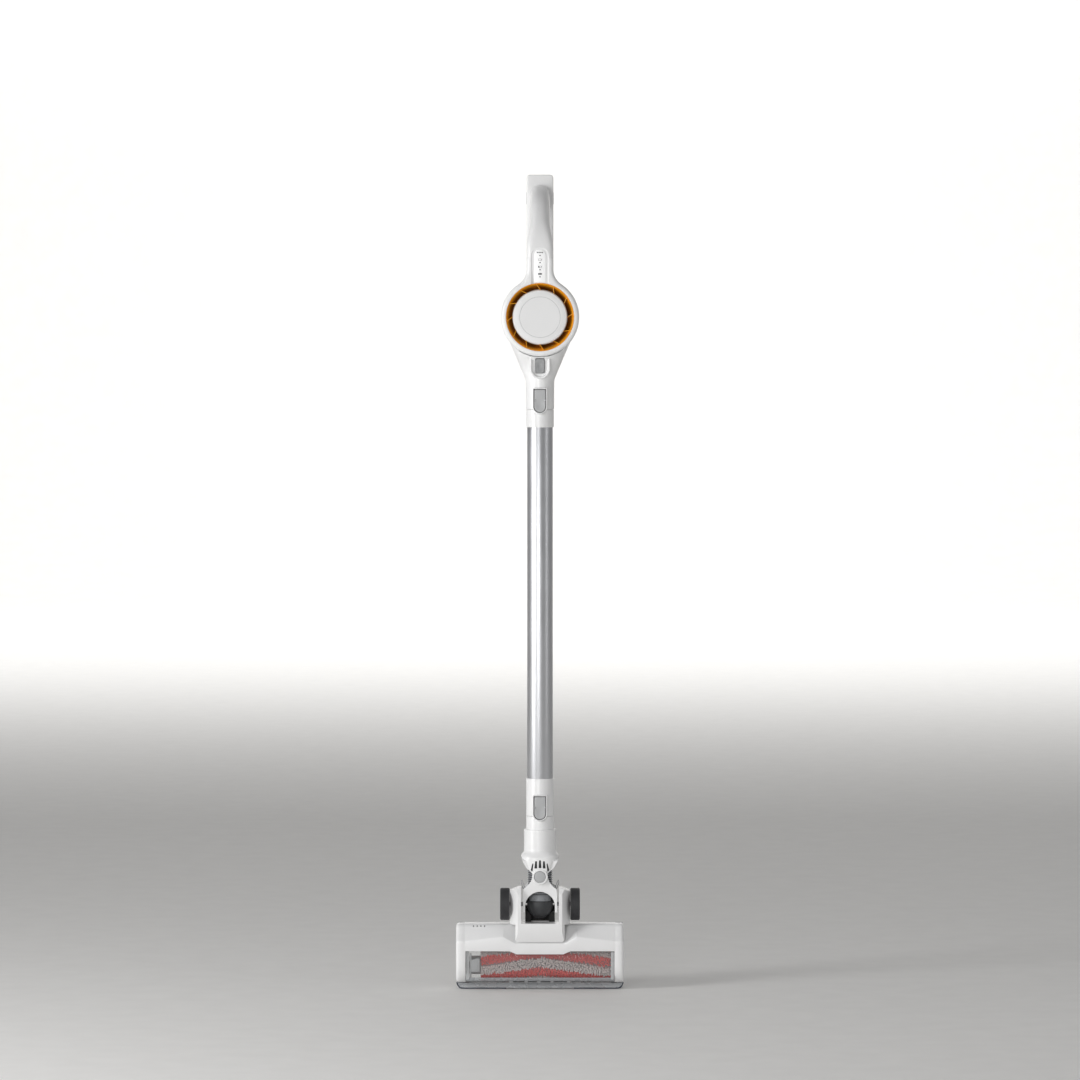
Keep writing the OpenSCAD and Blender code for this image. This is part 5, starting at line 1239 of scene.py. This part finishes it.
def make_sole():
    """Sole plate with its screws, the see-through bumper with dark ends, and the vent slots between them."""
    paint("sole_plate", finishes["control"], 0.4)
    paint("sole_screws", finishes["steel"])
    h = HEAD_HALF
    bar = evened(rounded([[-h + 8, 0.2], [h - 8, 0.2], [h - 1.2, 5.0], [h, 8.8], [-h, 8.8], [-h + 1.2, 5.0]],
                         [3, 3, 3, 1, 1, 3]), 300)
    mid = slab(inset(bar, 0.6), [(0.5, -1.4), (0, -0.9), (0, 17.2), (0.5, 17.7)], "y")
    build("bumper_bar", [mid], "bumper", "head", "bumper_plastic", ["bumper"])
    ends = []
    for s in (-1, 1):
        path = flowing([[s * 46, -1.0, 0.9], [s * 80, -1.0, 0.9], [s * (h - 9), -1.0, 1.0],
                        [s * (h - 3.5), -1.0, 3.6], [s * (h - 0.9), -1.0, 8.8]], 60)
        ends.append(tube(path, 0.85, 12))
    build("bumper_rims", ends, "navy", "head", "bumper_plastic")
    slots = [slab(rounded([[a, 9.6], [b, 9.6], [b - 0.6, 11.3], [a + 0.6, 11.3]], 0.5),
                  [(0, -6.9), (0, -7.9)], "y") for a, b in ((-37, -21), (-17, -4), (0.5, 14.5), (18, 37))]
    rail = slab(evened(rounded([[-43, 8.9], [43, 8.9], [40, 12.2], [-40, 12.2]], 1.0), 120),
                [(0.3, -7.4), (0, -7.1), (0, 6), (0.3, 6.3)], "y", 1)
    build("vent_rail", [*slots, rail], "dark control", "head", "dark_plastic")


def make_inner_works():
    """What the casings hide keeps its frame shape and takes the finish of its real material."""
    for node, mat, edge in (("exhaust_filter", "fleece", 0), ("main_motor", "motor", 0.5),
                            ("impeller", "control", 0), ("impeller_shroud", "dark", 0.5),
                            ("control_board", "board", 0),
                            ("cup_button_spring", "steel", 0), ("upper_rocker_pin", "steel", 0.3),
                            ("lower_rocker_pin", "steel", 0.3), ("wand_conductors", "wire", 0),
                            ("brush_motor", "motor", 0.4), ("motor_pulley", "dark", 0.3),
                            ("drive_belt", "rubber", 0)):
        paint(node, finishes[mat], edge)


def make_stage():
    """Pale sweep of floor and wall, four soft boxes and a long lens that looks level at the wand."""
    mat = finish("matt_pale_paper", linear("#F4F3F1"), 0.9, grain=3.0, depth=0.02)
    s = np.linspace(0, 1, 40)
    # the sweep stands far back, so that a camera behind the cleaner is still in front of it
    near, far, bend, tall, half = -12000, 10600, 1400, 8000, 14000
    flat = np.stack([near + (far - near) * s, 0 * s], -1)
    turn = s * math.pi / 2
    curve = np.stack([far + bend * np.sin(turn), bend - bend * np.cos(turn)], -1)[1:]
    run = np.concatenate([flat, curve, [[far + bend, tall]]])
    wide = np.linspace(-half, half, 3)
    p = np.stack([np.broadcast_to(wide[None], (len(run), 3)), np.broadcast_to(run[:, :1],
            (len(run), 3)) - AXIS_Y, np.broadcast_to(run[:, 1:], (len(run), 3))], -1)
    floor = bpy.data.objects.new("floor", mesh_of("floor", [(p, False, False, False, 0)], [mat]))
    bpy.context.scene.collection.objects.link(floor)
    aim = Vector((0.0, AXIS_Y / 1000, 0.6127))
    wall = Vector((0.0, 12.0, 1.5))
    lamps = (
        ("key", (-2.4, -1.5, 0.9), (0.8, 2.0), 46, aim),
        ("fill", (2.2, -1.2, 0.8), (0.3, 1.8), 3.5, aim),
        ("front", (-0.6, -2.6, 0.4), (0.5, 1.4), 15, aim),
        ("wall_wash", (0.0, 7.0, 5.5), (9.0, 2.0), 420, wall),
    )
    for name, where, size, power, target in lamps:
        light = bpy.data.lights.new(name, "AREA")
        light.shape, light.size, light.size_y, light.energy = "RECTANGLE", size[0], size[1], power
        lamp = bpy.data.objects.new(name, light)
        lamp.location = where
        lamp.rotation_euler = (target - Vector(where)).to_track_quat("-Z", "Y").to_euler()
        bpy.context.scene.collection.objects.link(lamp)
    world = bpy.data.worlds.new("studio")
    world.use_nodes = True
    world.node_tree.nodes["Background"].inputs[0].default_value = (1, 1, 1, 1)
    world.node_tree.nodes["Background"].inputs[1].default_value = 0.30
    bpy.context.scene.world = world
    data = bpy.data.cameras.new("camera")
    data.lens, data.sensor_width = 196.0, 36.0
    data.clip_end = 50
    camera = bpy.data.objects.new("camera", data)
    lift_angle, reach = math.radians(2.2), 8.0
    camera.location = aim + Vector((0, -reach * math.cos(lift_angle), reach * math.sin(lift_angle)))
    camera.rotation_euler = (aim - camera.location).to_track_quat("-Z", "Y").to_euler()
    bpy.context.scene.collection.objects.link(camera)
    bpy.context.scene.camera = camera
    bpy.context.scene.view_settings.view_transform = "Standard"


# ---- add-on: one operator for each piece or group, a panel that lists them
class VACUUM_OT_finishes(bpy.types.Operator):
    """Makes every material from the colours"""

    bl_idname = "vacuum.finishes"
    bl_label = "Finishes"

    def execute(self, context):
        make_finishes(context.scene.vacuum_colours)
        return {"FINISHED"}


class VACUUM_OT_housing(bpy.types.Operator):
    """Builds both halves of the round housing and the grip"""

    bl_idname = "vacuum.housing"
    bl_label = "Housing and handle"

    def execute(self, context):
        make_housing()
        return {"FINISHED"}


class VACUUM_OT_panel(bpy.types.Operator):
    """Builds the panel, which glows with painted light, its lamps and symbols"""

    bl_idname = "vacuum.panel"
    bl_label = "Indicator panel"

    def execute(self, context):
        make_panel()
        return {"FINISHED"}


class VACUUM_OT_exhaust(bpy.types.Operator):
    """Builds the orange ring, its blades and the cap"""

    bl_idname = "vacuum.exhaust"
    bl_label = "Exhaust"

    def execute(self, context):
        make_exhaust()
        return {"FINISHED"}


class VACUUM_OT_inlet_neck(bpy.types.Operator):
    """Builds the funnel, its boss and the cup release"""

    bl_idname = "vacuum.inlet_neck"
    bl_label = "Inlet neck"

    def execute(self, context):
        make_inlet_neck()
        return {"FINISHED"}


class VACUUM_OT_rockers(bpy.types.Operator):
    """Builds the two rockers"""

    bl_idname = "vacuum.rockers"
    bl_label = "Wand releases"

    def execute(self, context):
        make_rockers()
        return {"FINISHED"}


class VACUUM_OT_battery(bpy.types.Operator):
    """Builds the battery, its holder and the trigger"""

    bl_idname = "vacuum.battery"
    bl_label = "Battery and trigger"

    def execute(self, context):
        make_battery()
        return {"FINISHED"}


class VACUUM_OT_cup(bpy.types.Operator):
    """Builds the cup, cyclone, lid and hook"""

    bl_idname = "vacuum.cup"
    bl_label = "Dust cup"

    def execute(self, context):
        make_cup()
        return {"FINISHED"}


class VACUUM_OT_wand(bpy.types.Operator):
    """Builds the tube and its connectors"""

    bl_idname = "vacuum.wand"
    bl_label = "Wand"

    def execute(self, context):
        make_wand()
        return {"FINISHED"}


class VACUUM_OT_swivel(bpy.types.Operator):
    """Builds the neck tube, shells and pivot caps"""

    bl_idname = "vacuum.swivel"
    bl_label = "Swivel"

    def execute(self, context):
        make_swivel()
        return {"FINISHED"}


class VACUUM_OT_hose(bpy.types.Operator):
    """Builds the hose inside the swivel"""

    bl_idname = "vacuum.hose"
    bl_label = "Neck hose"

    def execute(self, context):
        make_hose()
        return {"FINISHED"}


class VACUUM_OT_yoke(bpy.types.Operator):
    """Builds the forked carrier, ball duct and wire guides"""

    bl_idname = "vacuum.yoke"
    bl_label = "Yoke and ball"

    def execute(self, context):
        make_yoke()
        return {"FINISHED"}


class VACUUM_OT_hood(bpy.types.Operator):
    """Finishes the creased hood"""

    bl_idname = "vacuum.hood"
    bl_label = "Neck hood"

    def execute(self, context):
        make_hood()
        return {"FINISHED"}


class VACUUM_OT_cover(bpy.types.Operator):
    """Builds the cover with its brow and arms"""

    bl_idname = "vacuum.cover"
    bl_label = "Head cover"

    def execute(self, context):
        make_cover()
        return {"FINISHED"}


class VACUUM_OT_window(bpy.types.Operator):
    """Builds the clear window and its frames"""

    bl_idname = "vacuum.window"
    bl_label = "Brush window"

    def execute(self, context):
        make_window()
        return {"FINISHED"}


class VACUUM_OT_roller(bpy.types.Operator):
    """Builds the core and the two-colour pile"""

    bl_idname = "vacuum.roller"
    bl_label = "Brush roller"

    def execute(self, context):
        make_roller()
        return {"FINISHED"}


class VACUUM_OT_wheels(bpy.types.Operator):
    """Builds both wheels"""

    bl_idname = "vacuum.wheels"
    bl_label = "Wheels"

    def execute(self, context):
        make_wheels()
        return {"FINISHED"}


class VACUUM_OT_sole(bpy.types.Operator):
    """Builds the bumper and finishes the sole"""

    bl_idname = "vacuum.sole"
    bl_label = "Sole and bumper"

    def execute(self, context):
        make_sole()
        return {"FINISHED"}


class VACUUM_OT_inner_works(bpy.types.Operator):
    """Finishes the pieces inside the casings"""

    bl_idname = "vacuum.inner_works"
    bl_label = "Inner works"

    def execute(self, context):
        make_inner_works()
        return {"FINISHED"}


class VACUUM_OT_stage(bpy.types.Operator):
    """Builds floor, lights and camera"""

    bl_idname = "vacuum.stage"
    bl_label = "Stage"

    def execute(self, context):
        make_stage()
        return {"FINISHED"}


OPERATORS = (
    VACUUM_OT_finishes, VACUUM_OT_housing, VACUUM_OT_panel, VACUUM_OT_exhaust, VACUUM_OT_inlet_neck,
    VACUUM_OT_rockers, VACUUM_OT_battery, VACUUM_OT_cup, VACUUM_OT_wand, VACUUM_OT_swivel,
    VACUUM_OT_hose, VACUUM_OT_yoke, VACUUM_OT_hood, VACUUM_OT_cover, VACUUM_OT_window, VACUUM_OT_roller,
    VACUUM_OT_wheels, VACUUM_OT_sole, VACUUM_OT_inner_works, VACUUM_OT_stage,
)


class VACUUM_PT_sidebar(bpy.types.Panel):
    """Lists the sizes, the colours and one button for each piece"""

    bl_idname = "VACUUM_PT_sidebar"
    bl_label = "Stick vacuum"
    bl_space_type = "VIEW_3D"
    bl_region_type = "UI"
    bl_category = "Vacuum"

    def draw(self, context):
        for group in (context.scene.vacuum_sizes, context.scene.vacuum_colours):
            for name in group.__annotations__:
                self.layout.prop(group, name)
        for op in OPERATORS:
            self.layout.operator(op.bl_idname)


def register():
    for cls in (VacuumSizes, VacuumColours, *OPERATORS, VACUUM_PT_sidebar):
        bpy.utils.register_class(cls)
    bpy.types.Scene.vacuum_sizes = bpy.props.PointerProperty(type=VacuumSizes)
    bpy.types.Scene.vacuum_colours = bpy.props.PointerProperty(type=VacuumColours)


def unregister():
    del bpy.types.Scene.vacuum_colours
    del bpy.types.Scene.vacuum_sizes
    for cls in reversed((VacuumSizes, VacuumColours, *OPERATORS, VACUUM_PT_sidebar)):
        bpy.utils.unregister_class(cls)


def main():
    """Builds everything in order."""
    register()
    for op in OPERATORS:
        getattr(bpy.ops.vacuum, op.bl_idname.split(".")[1])()


if __name__ == "__main__":
    main()
